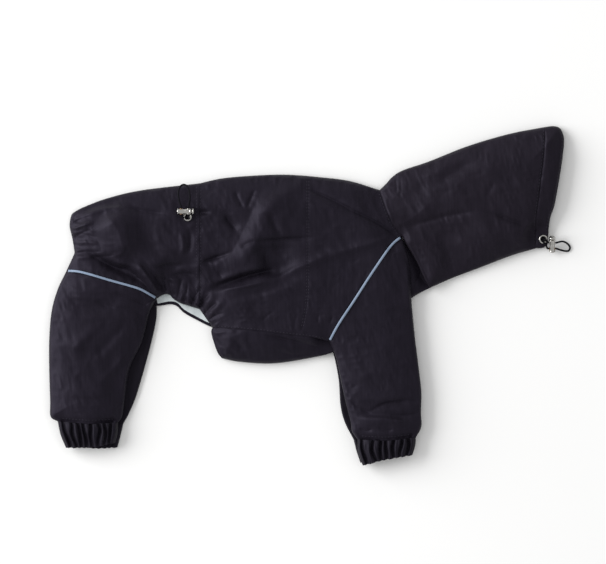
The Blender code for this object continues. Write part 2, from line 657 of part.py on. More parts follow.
def folded_strip(name, sides, colour="shell"):
    """The belly and chest panel: an upper and a lower ply joined along the fold at the bottom."""
    skins = []
    for depth in (0.0, CLOTH):
        plies = []
        for pieces, height in ((PIECES, belly_top), (PIECES | UNDER_BELLY, belly_bottom)):
            plan = patch(sides, edge_insets(depth, pieces), pieces)
            z = height(plan.reshape(-1, 2), depth, ("belly_fold", "chest_fold")).reshape(plan.shape[:2])
            z[0] = belly_rim(plan[0])
            plies.append(np.dstack([plan, z]))
        skins.append(np.concatenate([plies[0][::-1], plies[1][1:]], axis=0))
    shape = skins[0].shape[:2]
    outer = np.arange(shape[0] * shape[1]).reshape(shape)
    points = np.vstack([skin.reshape(-1, 3) for skin in skins])
    return new_object(name, points, wall_faces(outer, outer + outer.size), colour)


# ---- the right half -------------------------------------------------------------
def upper_rim(p):
    return rim_height(p) + SEAM_GAP / 2


def right_panels():
    panel("side_right", (
        [("opening_front", "rim"), ("belly_seam", "seam")],
        [("fore_seam", "seam"), ("-neck", "seam")],
        [("-back_front", "rim")],
        [("waist", "seam")],
    ), right_top, upper_rim, PIECES)
    panel("hip_right", (
        [("hind_seam", "seam"), ("opening_rear", "rim")],
        [("-waist", "seam")],
        [("-back_rear", "rim")],
        [("tail", "rim"), ("rump", "rim")],
    ), right_top, upper_rim, PIECES)
    panel("hood_right", (
        [("hood_bottom", "rim")],
        [("-casing_seam", "seam")],
        [("-hood_top", "rim")],
        [("neck", "seam"), ("throat", "rim")],
    ), hood_top, upper_rim, PIECES, "hood")
    panel("casing_right", (
        [("casing_bottom", "rim")],
        [("-mouth", "rim")],
        [("-casing_top", "rim")],
        [("casing_seam", "seam")],
    ), hood_top, upper_rim, PIECES, "hood")


def leg_sides(leg, mouth):
    return (
        [(leg + "_hem", "seam")],
        [("-" + leg + "_right", "rim")],
        [("-" + mouth, "seam")],
        [(leg + "_left", "rim")],
    )


def right_legs():
    for leg in ("fore", "hind"):
        rims = (leg + "_left", leg + "_right")
        tube(
            leg + "_leg_right",
            leg_sides(leg, leg + "_seam"),
            right_top,
            lambda p, depth: right_leg_bottom(p, depth, rims),
            upper_rim,
            PIECES,
            PIECES | UNDER_LEG,
        )


# ---- the left half, underneath ----------------------------------------------------
def lower_rim(p):
    """The lower half's edge drops a little away from the upper one where both stand high."""
    return rim_height(p) - SEAM_GAP / 2 - RIM_EASE * (rim_height(p) - RIM_HEIGHT)


def left_panel(name, rims, sides, colour="shell"):
    panel(name, sides, lambda p, depth: floor_bottom(p, depth, rims), lower_rim, LEFT_PIECES, colour)


def left_panels():
    left_panel("side_left", ("back_front",), (
        [("left_opening_front", "edge"), ("belly_seam", "seam")],
        [("fore_seam", "seam"), ("-neck", "seam")],
        [("-back_front", "rim")],
        [("left_waist", "seam")],
    ))
    left_panel("hip_left", ("back_rear", "tail", "rump"), (
        [("left_hind_seam", "seam"), ("left_opening_rear", "edge")],
        [("-left_waist", "seam")],
        [("-back_rear", "rim")],
        [("tail", "rim"), ("rump", "rim")],
    ))
    left_panel("hood_left", ("hood_top", "hood_bottom"), (
        [("hood_bottom", "rim")],
        [("-casing_seam", "seam")],
        [("-hood_top", "rim")],
        [("neck", "seam"), ("throat", "seam")],
    ), "hood")
    left_panel("casing_left", ("casing_top", "casing_bottom"), (
        [("casing_bottom", "rim")],
        [("-mouth", "edge")],
        [("-casing_top", "rim")],
        [("casing_seam", "seam")],
    ), "hood")


def left_legs():
    for leg, mouth in (("fore", "fore_seam"), ("hind", "left_hind_seam")):
        rims = ("left_" + leg + "_left", "left_" + leg + "_right")
        tube(
            leg + "_leg_left",
            leg_sides("left_" + leg, mouth),
            lambda p, depth: flat_leg_top(p, depth, rims),
            lambda p, depth: flat_leg_bottom(p, depth, rims),
            lambda p: np.full(len(p), LEG_FLAT / 2),
            LEFT_PIECES,
            LEFT_PIECES,
        )


def belly_panel():
    folded_strip("belly_panel", (
        [("belly_fold", "rim"), ("chest_fold", "rim")],
        [("chest_end", "edge")],
        [("-armpit", "seam"), ("-belly_seam", "seam")],
        [("belly_hem", "edge")],
    ))


# ---- cuffs, lining and piping -------------------------------------------------------
def cuff(leg, half, low, rim, crown, across_under):
    """A short gathered tube between the hem of a leg and its own end; low is what it rests on."""
    prefix = "left_" if half == "left" else ""
    left, right, end = (prefix + leg + "_cuff_" + side for side in ("left", "right", "end"))
    hem = prefix + leg + "_hem"
    across = (2 if half == "left" else 3) * CUFF_WAVES
    upper = {left: (CUFF_ROWS, False, False), right: (CUFF_ROWS, False, False),
             end: (across, False, False), hem: (across, False, False)}
    under = upper | {end: (across_under, False, False), hem: (across_under, False, False)}
    sides = ([(end, "edge")], [("-" + right, "rim")], [("-" + hem, "seam")], [(left, "rim")])
    radius = min(CUFF_RADIUS, rim - low)

    def top(p, depth):
        delta = distance_to(p, [CURVES[left], CURVES[right]])
        return rim + roll(radius, depth, delta) + crown * step(delta / 14) + (
            cuff_wave(p, left, right) * (1 if half == "right" else 0.5))

    def bottom(p, depth):
        return rim - roll(rim - low, depth, distance_to(p, [CURVES[left], CURVES[right]]))

    tube(leg + "_cuff_" + half, sides, top, bottom, lambda p: np.full(len(p), rim), upper, under, "elastic")


def cuffs():
    above_left = LEG_FLAT + 2 * SEAM_GAP + 0.6
    cuff("fore", "right", above_left, above_left + 4.4, CUFF_CROWN, 12)
    cuff("hind", "right", above_left, above_left + 3.2, CUFF_CROWN + 1, 12)
    for leg in ("fore", "hind"):
        cuff(leg, "left", 0.0, LEG_FLAT / 2, 0.0, 8)


def lining_strip():
    """The pale inner face of the left half, a thin wall that lies on it inside the belly opening."""
    sides = (
        [("left_opening_rear", "hem"), ("left_opening_front", "hem")],
        [("lining_front", "edge")],
        [("-lining_inner", "edge")],
        [("lining_rear", "edge")],
    )
    plan = patch(sides, {"hem": LINING_HEM, "edge": 0.5}, LEFT_PIECES)
    shape, flat = plan.shape[:2], plan.reshape(-1, 2)
    base = CLOTH + SEAM_GAP
    skins = [np.column_stack([flat, np.full(len(flat), z)]) for z in (base + LINING, base)]
    outer = np.arange(len(flat)).reshape(shape)
    new_object("lining_left", np.vstack(skins), wall_faces(outer, outer + outer.size), "lining")


def piping(leg):
    """A light cord that lies along the slanting seam, flat underneath and round on top."""
    line = curve(leg + "_seam")
    ends = PIPING_ENDS / length_along(line)[-1]
    path = at_fractions(line, np.linspace(ends, 1 - ends, PIPING_ROWS))
    side = normals_of(path)
    reach = 1.25 * PIPING_SECTION[-1][0]
    beside = [right_top(path + side * across) for across in (-reach, -reach / 2, 0, reach / 2, reach)]
    base = np.max(beside, axis=0) + PIPING_LIFT
    rows = [np.column_stack([path - side * across, base + up]) for across, up in PIPING_SECTION]
    points = np.stack(rows, 1).reshape(-1, 3)
    count = len(PIPING_SECTION)
    index = np.arange(len(points)).reshape(-1, count)
    faces = grid_faces(np.hstack([index, index[:, :1]])) + [index[0].tolist(), index[-1, ::-1].tolist()]
    new_object(leg + "_piping_right", points, faces, "piping")


# ---- eyelets, cord locks and drawcords -----------------------------------------------
def surface_at(place, reach=4.0):
    """Height and upward normal of the cloth under a plan point."""
    x, y = place
    around = np.array([(x, y), (x - reach, y), (x + reach, y), (x, y - reach), (x, y + reach)], float)
    height = (hood_top if x > CURVES["neck"][:, 0].max() else right_top)(around)
    normal = Vector((height[1] - height[2], height[3] - height[4], 2 * reach)).normalized()
    return float(height[0]), normal


def turned(name, profile, sides, centre, axis, colour, closed=False):
    """A profile of (radius, height) turned about an axis through a point."""
    turn = Vector((0, 0, 1)).rotation_difference(Vector(axis))
    points, index = [], []
    for radius, height in profile:
        count = sides if radius > 0 else 1
        index.append([len(points) + i % count for i in range(sides + 1)])
        for i in range(count):
            a = 2 * math.pi * i / sides
            spot = turn @ Vector((radius * math.cos(a), radius * math.sin(a), height))
            points.append(tuple(Vector(centre) + spot))
    rings = index + index[:1] if closed else index
    faces = []
    for low, high in zip(rings, rings[1:]):
        for i in range(sides):
            face = [low[i], low[i + 1], high[i + 1], high[i]]
            face = list(dict.fromkeys(face))
            if len(face) > 2:
                faces.append(face)
    return new_object(name, points, faces, colour, metallic=1.0, roughness=0.3)


def eyelet(name, place):
    height, normal = surface_at(place)
    centre = Vector((*place, height)) + normal * EYELET_LIFT
    turned(name, EYELET_PROFILE, EYELET_SIDES, centre, normal, "metal", closed=True)


def lock(name, centre, axis, across):
    """A barrel with two cross holes for the cord, and the plunger that shows at its end."""
    centre, axis, across = Vector(centre), Vector(axis).normalized(), Vector(across).normalized()
    length = LOCK_PROFILE[-1][1]
    barrel = turned(name + "_lock", LOCK_PROFILE, LOCK_SIDES, centre - axis * length / 2, axis, "metal")
    top = centre + axis * (length / 2 + SEAM_GAP)
    turned(name + "_plunger", PLUNGER_PROFILE, LOCK_SIDES, top, axis, "metal")
    for number, side in enumerate((-1, 1)):
        place = centre + axis * side * LOCK_LEGS / 2
        bore = ((0, -6), (LOCK_BORE / 2, -6), (LOCK_BORE / 2, 6), (0, 6))
        cutter = turned(f"{name}_bore_{number}", bore, 10, place, across, "metal")
        cutter.hide_render = True
        cutter.display_type = "WIRE"
        cut = barrel.modifiers.new("bore", "BOOLEAN")
        cut.object = cutter
        cut.operation = "DIFFERENCE"


def cord(name, route):
    """An elastic cord along one smooth curve through the points of its route."""
    line = smooth(route, 12)
    length = length_along(line)[-1]
    path = at_fractions(line, np.linspace(0, 1, int(length / CORD_STEP) + 1))
    data = bpy.data.curves.new(name, "CURVE")
    data.dimensions = "3D"
    data.bevel_depth = CORD / 2 * MM
    data.bevel_resolution = 2
    data.use_fill_caps = True
    spline = data.splines.new("POLY")
    spline.points.add(len(path) - 1)
    for point, place in zip(spline.points, (path - (*CENTRE, 0)) * MM):
        point.co = (*place, 1)
    add(name, data, "cord")


def waist_lock_centre():
    x, y = WAIST_LOCK
    half = LOCK_PROFILE[-1][1] / 2 + 3
    under = np.array([(x + dx, y + dy) for dx in np.linspace(-half, half, 7) for dy in (-3, 0, 3)])
    return x, y, float(right_top(under).max()) + LOCK_RADIUS + 0.3


def waist_route():
    """Out of the eyelet, through the lock, round the loop over the back, and in again."""
    x, y, z = waist_lock_centre()
    (ex, ey), leg = WAIST_EYELET, LOCK_LEGS / 2
    low = surface_at(WAIST_EYELET)[0] + EYELET_LIFT + CORD / 2 + 0.2
    return (
        (ex - 1.3, ey, low), (ex - 1.5, ey + 0.6, low + 2.2), (x - leg, y - 5, z), (x - leg, y, z),
        (x - leg, y + 5, z), (x - 5.6, y + 12, z - 1.2), (x - 5.4, y + 20, z - 3.5),
        (x - 0.2, y + 28.5, z - 8.5), (x + 5.2, y + 22, z - 4.5), (x + 5.8, y + 14, z - 1.8),
        (x + leg, y + 5, z), (x + leg, y, z), (x + leg, y - 5, z), (ex + 1.5, ey + 0.6, low + 2.2),
        (ex + 1.3, ey, low),
    )


def hood_lock_axis():
    return Vector((0, math.cos(HOOD_LOCK_LEAN), math.sin(HOOD_LOCK_LEAN)))


def hood_lock_centre():
    half = LOCK_PROFILE[-1][1] / 2
    return Vector((*HOOD_LOCK, HOOD_LOCK_FOOT + half * math.sin(HOOD_LOCK_LEAN)))


def hood_route():
    """Out of the eyelet, over the edge, through the lock, round the loop on the ground, and in again."""
    centre, axis = hood_lock_centre(), hood_lock_axis()
    upper, lower = centre + axis * LOCK_LEGS / 2, centre - axis * LOCK_LEGS / 2
    (ex, ey), base = HOOD_EYELET, surface_at(HOOD_EYELET)[0] + EYELET_LIFT
    low = base + CORD / 2 + 0.2
    return (
        (ex + 1.1, ey + 0.6, low), (ex + 1.4, ey + 0.7, low + 1.6), (ex + 3.4, ey + 0.3, low + 3.4),
        (upper.x - 4.4, upper.y + 0.3, upper.z + 0.7), (upper.x - 2.4, upper.y, upper.z + 0.1),
        (upper.x, upper.y, upper.z), (upper.x + 2.4, upper.y, upper.z), (upper.x + 5, upper.y, upper.z - 0.5),
        (282, 60.6, 4.6), (287, 58.6, 1.9), (290.2, 54.4, 1.15), (288.6, 50.2, 1.15), (282, 50.6, 3.2),
        (lower.x + 4.4, lower.y, lower.z - 0.1), (lower.x, lower.y, lower.z),
        (lower.x - 3.2, lower.y, lower.z), (lower.x - 5.4, lower.y + 0.6, lower.z + 2.2),
        (ex + 3.2, ey - 4.8, low + 2.4),
        (ex + 0.4, ey - 2.0, low + 3.2), (ex - 0.9, ey - 0.6, low),
    )


def hardware():
    eyelet("waist_eyelet", WAIST_EYELET)
    eyelet("hood_eyelet", HOOD_EYELET)
    lock("waist", waist_lock_centre(), (1, 0, 0), (0, 1, 0))
    lock("hood", hood_lock_centre(), hood_lock_axis(), (1, 0, 0))
    cord("waist_cord", waist_route())
    cord("hood_cord", hood_route())


def build():
    right_panels()
    right_legs()
    left_panels()
    left_legs()
    belly_panel()
    cuffs()
    lining_strip()
    for leg in ("fore", "hind"):
        piping(leg)
    hardware()


for item in list(bpy.data.objects):
    bpy.data.objects.remove(item, do_unlink=True)
build()
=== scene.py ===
import math

import bpy
import numpy as np
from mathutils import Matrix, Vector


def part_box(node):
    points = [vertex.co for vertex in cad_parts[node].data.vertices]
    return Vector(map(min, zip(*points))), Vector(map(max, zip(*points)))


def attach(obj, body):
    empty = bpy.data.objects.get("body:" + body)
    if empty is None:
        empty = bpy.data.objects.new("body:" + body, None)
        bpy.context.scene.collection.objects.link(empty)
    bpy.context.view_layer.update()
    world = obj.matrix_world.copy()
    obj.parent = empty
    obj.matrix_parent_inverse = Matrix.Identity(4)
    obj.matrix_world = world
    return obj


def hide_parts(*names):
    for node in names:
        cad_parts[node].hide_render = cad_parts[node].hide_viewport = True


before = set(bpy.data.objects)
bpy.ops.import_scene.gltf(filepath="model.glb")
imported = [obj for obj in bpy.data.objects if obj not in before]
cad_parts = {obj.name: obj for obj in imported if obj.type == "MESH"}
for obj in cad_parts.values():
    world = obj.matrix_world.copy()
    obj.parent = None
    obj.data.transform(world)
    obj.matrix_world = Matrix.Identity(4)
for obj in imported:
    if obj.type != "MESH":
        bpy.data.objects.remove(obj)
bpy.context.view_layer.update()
print("frame loaded")

# Plan millimetres: +X towards the hood, +Y towards the back, +Z up from the table.
plan = {"centre": (0.55, 0.75), "pixel": 1.1, "photoWidth": 606, "photoCentre": (-3.3, 15.95)}


def toMetres(points):
    # place = (plan point - plan centre) / 1000
    return (np.asarray(points, float) - (*plan["centre"], 0)) * 0.001


# camera, light and table
studio = {
    "cameraHeight": 2.4,
    "world": 0.64,
    "keyPower": 440.0,
    "keySize": 4.6,
    "keyPlace": (-4.6, 1.4, 1.8),
    "table": (0.93, 0.93, 0.925),
    "tableSize": 24,
    "tableDrop": 0.0003,
}


def makeCamera():
    # looks straight down; the frame is as wide as the photograph is in plan millimetres
    data = bpy.data.cameras.new("camera")
    data.type = "ORTHO"
    data.ortho_scale = plan["photoWidth"] * plan["pixel"] * 0.001
    camera = bpy.data.objects.new("camera", data)
    x, y, _ = toMetres((*plan["photoCentre"], 0))
    camera.location = (x, y, studio["cameraHeight"])
    bpy.context.scene.collection.objects.link(camera)
    bpy.context.scene.camera = camera


def makeStudio():
    world = bpy.data.worlds.new("studio")
    world.use_nodes = True
    world.node_tree.nodes["Background"].inputs["Color"].default_value = (1, 1, 1, 1)
    world.node_tree.nodes["Background"].inputs["Strength"].default_value = studio["world"]
    bpy.context.scene.world = world
    # one large light from the left, turned to the middle of the table
    data = bpy.data.lights.new("key", "AREA")
    data.energy = studio["keyPower"]
    data.size = studio["keySize"]
    key = bpy.data.objects.new("key", data)
    key.location = studio["keyPlace"]
    key.rotation_mode = "QUATERNION"
    key.rotation_quaternion = (-key.location).to_track_quat("-Z", "Y")
    bpy.context.scene.collection.objects.link(key)
    bpy.context.scene.view_settings.view_transform = "Standard"


makeCamera()
makeStudio()

# drawcords; "cloth" is the height of the cloth at the eyelet
waistCord = {
    "lock": (-134.2, 93.5),
    "eyelet": (-131.5, 84.5),
    "legs": (-3.2, 4.8),
    "diameter": 2.0,
    "cloth": 21.55,
}
hoodCord = {
    "lock": (270.8, 56.0),
    "eyelet": (260.5, 62.0),
    "legs": (-3.7, 3.7),
    "diameter": 2.0,
    "lean": math.radians(28),
    "foot": 3.6,
    "barrel": 15.0,
    "cloth": 7.2917,
}
cordStart = {"eyeletLift": 0.4, "clear": 0.2}


def smooth(points, perSpan=14):
    # Catmull-Rom: each span is the cubic through its two ends with the neighbours' slopes
    p = np.array(points, float)
    p = np.vstack([2 * p[0] - p[1], p, 2 * p[-1] - p[-2]])
    t = np.linspace(0, 1, perSpan, endpoint=False)[:, None]
    spans = [
        0.5 * (2 * b + (c - a) * t + (2 * a - 5 * b + 4 * c - d) * t**2 + (3 * b - a - 3 * c + d) * t**3)
        for a, b, c, d in zip(p, p[1:], p[2:], p[3:])
    ]
    return np.vstack(spans + [p[-2:-1]])


def lengthAlong(line):
    # the running length at each point of a line
    return np.concatenate([[0], np.cumsum(np.linalg.norm(np.diff(line, axis=0), axis=1))])


def atFractions(line, fractions):
    # the points at given fractions of a line's length
    along = lengthAlong(line)
    return np.stack([np.interp(fractions * along[-1], along, line[:, k]) for k in range(line.shape[1])], 1)


def boxMiddle(node):
    # the middle of a CAD node's box, in plan millimetres
    low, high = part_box(node)
    return (np.array(low) + np.array(high)) * 500 + (*plan["centre"], 0)


def startHeight(cord):
    # a cord starts just clear of the cloth inside its eyelet
    return cord["cloth"] + cordStart["eyeletLift"] + cord["diameter"] / 2 + cordStart["clear"]


def waistRoute():
    # out of the eyelet, through the lock, round the loop over the back, and in again
    z = boxMiddle("waist_lock")[2]
    x, y = waistCord["lock"]
    left, right = (x + leg for leg in waistCord["legs"])
    ex, ey = waistCord["eyelet"]
    low = startHeight(waistCord)
    return [
        (ex - 0.3, ey + 1, low), (ex - 1.0, ey + 1.8, low + 2.2), (left, y - 5, z), (left, y, z),
        (left, y + 5, z), (x - 5.6, y + 12.5, z - 1.2), (x - 6.2, y + 21.5, z - 3.5),
        (x - 4.0, y + 27.5, z - 6.5), (x - 0.2, y + 29.6, z - 8.5), (x + 3.8, y + 27.4, z - 7.0),
        (x + 6.0, y + 20.5, z - 4.5), (x + 6.2, y + 13, z - 1.8), (right, y + 5, z), (right, y, z),
        (right, y - 5, z), (ex + 3.2, ey + 1.8, low + 2.2), (ex + 2.4, ey + 1, low),
    ]


def hoodLockAxis():
    return np.array((0, math.cos(hoodCord["lean"]), math.sin(hoodCord["lean"])))


def hoodLockCentre():
    half = hoodCord["barrel"] / 2
    return np.array((*hoodCord["lock"], hoodCord["foot"] + half * math.sin(hoodCord["lean"])))


def hoodRoute():
    # out of the eyelet, over the edge, through the lock, round the loop on the table, and in again
    centre, axis = hoodLockCentre(), hoodLockAxis()
    ux, uy, uz = centre + axis * hoodCord["legs"][1]
    lx, ly, lz = centre + axis * hoodCord["legs"][0]
    ex, ey = hoodCord["eyelet"]
    low = startHeight(hoodCord)
    return [
        (ex + 1.1, ey + 0.6, low), (ex + 1.4, ey + 0.7, low + 1.6), (ex + 3.4, ey + 0.3, low + 3.4),
        (ux - 4.4, uy + 0.3, uz + 0.7), (ux - 2.4, uy, uz + 0.1), (ux, uy, uz), (ux + 2.4, uy, uz),
        (ux + 5, uy, uz - 0.5), (282, 60.6, 4.6), (287, 58.6, 1.9), (290.2, 54.4, 1.15),
        (288.6, 50.2, 1.15), (282, 50.6, 3.2), (lx + 4.4, ly, lz - 0.1), (lx, ly, lz),
        (lx - 3.2, ly, lz), (lx - 5.4, ly + 0.6, lz + 2.2), (ex + 3.2, ey - 4.8, low + 2.4),
        (ex + 0.4, ey - 2.0, low + 3.2), (ex - 0.9, ey - 0.6, low),
    ]


def cordCurve(name, route, diameter):
    # a round cord on one smooth open spline through the route's points
    line = toMetres(smooth(route, 6))
    data = bpy.data.curves.new(name, "CURVE")
    data.dimensions = "3D"
    data.bevel_depth = 1.0  # metres, times each point's radius
    data.bevel_resolution = 5
    data.use_fill_caps = True
    spline = data.splines.new("POLY")
    spline.points.add(len(line) - 1)
    spline.points.foreach_set("co", np.column_stack([line, np.ones(len(line))]).ravel())
    spline.points.foreach_set("radius", np.full(len(line), diameter / 2 * 0.001))
    spline.use_smooth = True
    piece = bpy.data.objects.new(name, data)
    bpy.context.scene.collection.objects.link(piece)
    return piece, line


waistLoop, waistLine = cordCurve("waistLoop", waistRoute(), waistCord["diameter"])
hoodLoop, hoodLine = cordCurve("hoodLoop", hoodRoute(), hoodCord["diameter"])
print("cords made")

# the cut: edges on the plan, in millimetres
outlines = {
    "backRear": ((-259.5, 85), (-256, 92), (-242, 99.5), (-215.5, 109), (-180, 117), (-117, 124.5)),
    "backFront": ((-117, 124.5), (-92, 130), (-57, 133), (-22, 134), (13, 131.5), (48, 127), (81, 117)),
    "hoodTop": ((81, 117), (88, 124), (95.5, 132), (107, 139), (135, 148.5), (178, 165.5), (224, 179),
                 (263, 186.5)),
    "casingTop": ((263, 186.5), (272, 187.5), (279, 185.5), (282, 181)),
    "mouth": ((282, 181), (284, 171), (281, 143), (274, 103), (269, 87), (267, 74), (266, 57.5)),
    "casingBottom": ((253, 53), (260.5, 53.4), (266, 57.5)),
    "casingSeam": ((263, 186.5), (262, 160), (257, 117), (252.5, 80), (253, 53)),
    "hoodBottom": ((136.5, 9.5), (161.5, 20.5), (192, 32), (224.5, 44.5), (253, 53)),
    "neck": ((81, 117), (87.5, 98.5), (95, 80), (105.5, 66)),
    "throat": ((105.5, 66), (110.5, 57), (121.5, 38.5), (131, 18), (136.5, 9.5)),
    "waist": ((-117, 124.5), (-117, 60), (-117, -14)),
    "tail": ((-259.5, 85), (-260, 76.5), (-257, 63.5), (-254.5, 48)),
    "rump": ((-254.5, 48), (-259, 38), (-263.5, 28.3)),
    "hindSeam": ((-263.5, 28.3), (-251, 27.5), (-237.5, 24.3), (-215.5, 17.8), (-193.5, 11.7), (-180.5, 7.2),
                 (-164, -2.2)),
    "openingRear": ((-164, -2.2), (-159, 0.8), (-154, 2.6), (-149.5, 1.4), (-146, -2.5), (-138.5, -7.2),
                    (-128, -10.6), (-117, -14)),
    "openingFront": ((-117, -14), (-110, -24), (-103, -34)),
    "bellySeam": ((-103, -34), (-56, -37.5), (-21, -42), (7.5, -45), (25.5, -49.5)),
    "foreSeam": ((25.5, -49.5), (36, -30.2), (53.4, -3.8), (70.4, 22.6), (88.3, 49), (97, 59.5), (105.5, 66)),
    "bellyHem": ((-103, -34), (-104, -41), (-98, -60), (-92.5, -68)),
    "bellyFold": ((-92.5, -68), (-72, -72), (-34, -73.5), (13, -66), (28, -62)),
    "chestFold": ((28, -62), (50.5, -51), (79, -30.5), (116.5, -1.5), (139, 10.8)),
    "chestEnd": ((139, 10.8), (131, 30), (108.5, 63.5)),
    "armpit": ((25.5, -49.5), (45, -36), (70, -12), (95, 17), (104, 44), (108.5, 63.5)),
    "foreLeft": ((25.5, -49.5), (33, -67), (37.5, -88), (43, -114), (49, -138), (50.5, -148), (56.5, -157)),
    "foreRight": ((105.5, 66), (113.5, 38), (116, -4), (120, -46), (124.5, -82), (127, -106),
                  (126.5, -128), (127, -143), (121, -155)),
    "foreHem": ((56.5, -157), (88, -158.5), (121, -155)),
    "hindLeft": ((-263.5, 28.3), (-273.5, 7), (-280, -17), (-282.5, -48), (-282.5, -80), (-281.5, -115),
                  (-281, -132), (-273, -137.5)),
    "hindRight": ((-164, -2.2), (-168.5, -10), (-172.5, -19), (-180.5, -50), (-194, -79), (-199, -110),
                  (-202, -131), (-206.5, -138.5)),
    "hindHem": ((-273, -137.5), (-240, -140), (-206.5, -138.5)),
    "midBody": ((2, 128), (2.2, 80), (2, 20), (0.5, -10), (-4.5, -36)),
    # the left half, which lies underneath and shows past the right one in places
    "leftWaist": ((-117, 124.5), (-117, 60), (-117, -27.5)),
    "leftHindSeam": ((-263.5, 28.3), (-248.5, 24), (-226.5, 18), (-199, 9), (-164, -11)),
    "leftOpeningRear": ((-164, -11), (-150, -8.5), (-142, -10.5), (-134, -18), (-117, -27.5)),
    "leftOpeningFront": ((-117, -27.5), (-110, -31), (-103, -34)),
    "leftForeLeft": ((25.5, -49.5), (31, -66), (36, -92), (38, -120), (43, -139), (52.5, -157.5)),
    "leftForeRight": ((105.5, 66), (110, 38), (112, -4), (116, -46), (121, -100), (123, -140), (118, -157)),
    "leftForeHem": ((52.5, -157.5), (85, -160), (118, -157)),
    "leftHindLeft": ((-263.5, 28.3), (-268, 7), (-275, -20), (-278, -60), (-277, -110), (-270, -139)),
    "leftHindRight": ((-164, -11), (-165, -27), (-172, -58), (-186, -107), (-194.5, -128), (-201, -140)),
    "leftHindHem": ((-270, -139), (-236, -142), (-201, -140)),
    "liningInner": ((-166, 12), (-140, 14), (-112, 2), (-96, -14)),
    "liningRear": ((-166, 12), (-165.5, 0), (-164, -11)),
    "liningFront": ((-103, -34), (-100, -24), (-96, -14)),
    # cuffs
    "foreCuffLeft": ((56.5, -157), (57.5, -172), (62.5, -186)),
    "foreCuffRight": ((121, -155), (120, -165), (117, -174.5)),
    "foreCuffEnd": ((62.5, -186), (86, -180), (117, -174.5)),
    "hindCuffLeft": ((-273, -137.5), (-270, -152), (-264, -166.5)),
    "hindCuffRight": ((-206.5, -138.5), (-207, -150), (-210, -161)),
    "hindCuffEnd": ((-264, -166.5), (-236, -166), (-210, -161)),
    "leftForeCuffLeft": ((52.5, -157.5), (55.5, -170), (60, -183)),
    "leftForeCuffRight": ((118, -157), (117, -165), (113, -172)),
    "leftForeCuffEnd": ((60, -183), (86, -177), (113, -172)),
    "leftHindCuffLeft": ((-270, -139), (-266, -152), (-259, -164)),
    "leftHindCuffRight": ((-201, -140), (-204, -153), (-207.5, -166)),
    "leftHindCuffEnd": ((-259, -164), (-232, -167), (-207.5, -166)),
}
curves = {name: smooth(points) for name, points in outlines.items()}


def side(names):
    # one side of a patch: its curves end to end; a leading minus sign reverses a curve
    parts = [curves[n[1:]][::-1] if n[0] == "-" else curves[n] for n in names]
    return np.vstack([part[: None if i == len(parts) - 1 else -1] for i, part in enumerate(parts)])


def crowded(count, ends=0.55):
    # fractions from 0 to 1, closer together near both ends: u - ends * sin(2 pi u) / (2 pi)
    u = np.linspace(0, 1, count)
    return u - ends * np.sin(2 * math.pi * u) / (2 * math.pi)


def patch(sides, columns, rows, ends=0.55):
    # Coons patch: the blend of bottom and top, plus the blend of left and right, less the blend of
    # the four corners. Rows run from bottom to top and columns from left to right.
    bottom, right, top, left = (side(names) for names in sides)
    across, up = crowded(columns, ends), crowded(rows, ends)
    bottom, top = atFractions(bottom, across), atFractions(top[::-1], across)
    right, left = atFractions(right, up), atFractions(left[::-1], up)
    u, v = across[None, :, None], up[:, None, None]
    ruled = (1 - v) * bottom[None] + v * top[None] + (1 - u) * left[:, None] + u * right[:, None]
    corners = (
        (1 - u) * (1 - v) * bottom[0] + u * (1 - v) * bottom[-1] + (1 - u) * v * top[0] + u * v * top[-1]
    )
    return ruled - corners


def nearest(p, line):
    # Distance from each point to a line, how far along the line that is, and which side it is on (+1
    # on the left of the line's direction).
    a, d = line[:-1], np.diff(line, axis=0)
    size = np.maximum((d * d).sum(1), 1e-9)
    t = np.clip(((p[:, None] - a) * d).sum(2) / size, 0, 1)
    gap = p[:, None] - a - t[..., None] * d
    far = np.hypot(gap[..., 0], gap[..., 1])
    i = far.argmin(1)
    k = np.arange(len(p))
    along = lengthAlong(line)[i] + t[k, i] * np.sqrt(size[i])
    turn = d[i, 0] * gap[k, i, 1] - d[i, 1] * gap[k, i, 0]
    return far[k, i], along, np.sign(turn)


def distanceTo(p, names):
    # distance to the nearest of the named curves
    return np.min([nearest(p, curves[name])[0] for name in names], axis=0)


def step(t):
    # smooth step from 0 to 1: 3t^2 - 2t^3
    t = np.clip(t, 0, 1)
    return t * t * (3 - 2 * t)


# heights of the laid cloth
cloth = {
    "wall": 1.3,
    "seamGap": 0.3,
    "rimHeight": 3.2,
    "rimRadius": 3.2,
    "rimEase": 0.1,
    "crown": 15.0,
    "crownReach": 38.0,
    "seamDip": 0.75,
    "seamDipWidth": 1.6,
    "stitchDip": 0.5,
    "stitchDipWidth": 1.3,
    "hemDip": 4.6,
    "hemDipWidth": 5.0,
    "foldClear": 7.0,
    "eyeletClear": 9.0,
    "legFlat": 4.0,
    "legEdge": 2.2,
    "ease": 1.05,
}
bodyRims = [
    "backRear", "backFront", "casingTop", "mouth", "casingBottom", "tail", "rump", "openingRear",
    "openingFront", "bellyHem", "bellyFold", "foreLeft", "foreRight", "hindLeft", "hindRight",
]
hoodRims = ["hoodTop", "casingTop", "mouth", "casingBottom", "hoodBottom", "throat", "backFront", "foreRight"]
seams = ["neck", "foreSeam", "hindSeam", "bellySeam", "casingSeam"]
hems = ["foreHem", "hindHem"]

# where the right half stands higher or lower: centre x, y, reach x, y, lift of the edge, change of crown,
# width of the slope as a share of the reach
hills = [
    (75, -70, 68, 105, 7.2, -8.0, 0.4),
    (120, 36, 26, 30, 7.2, -7.5, 0.8),
    (136, 36, 36, 38, 0.0, -12.0, 1.7),
    (98, 114, 26, 32, 0.0, -6.0, 1.3),
    (-232, -60, 72, 100, 3.7, -4.5, 0.4),
    (286, 120, 24, 44, 6.0, -4.5, 0.9),
    (-140, 8, 26, 20, 1.2, -5.0, 0.6),
    (260, 62, 15, 17, 0.0, -12.0, 0.8),
]

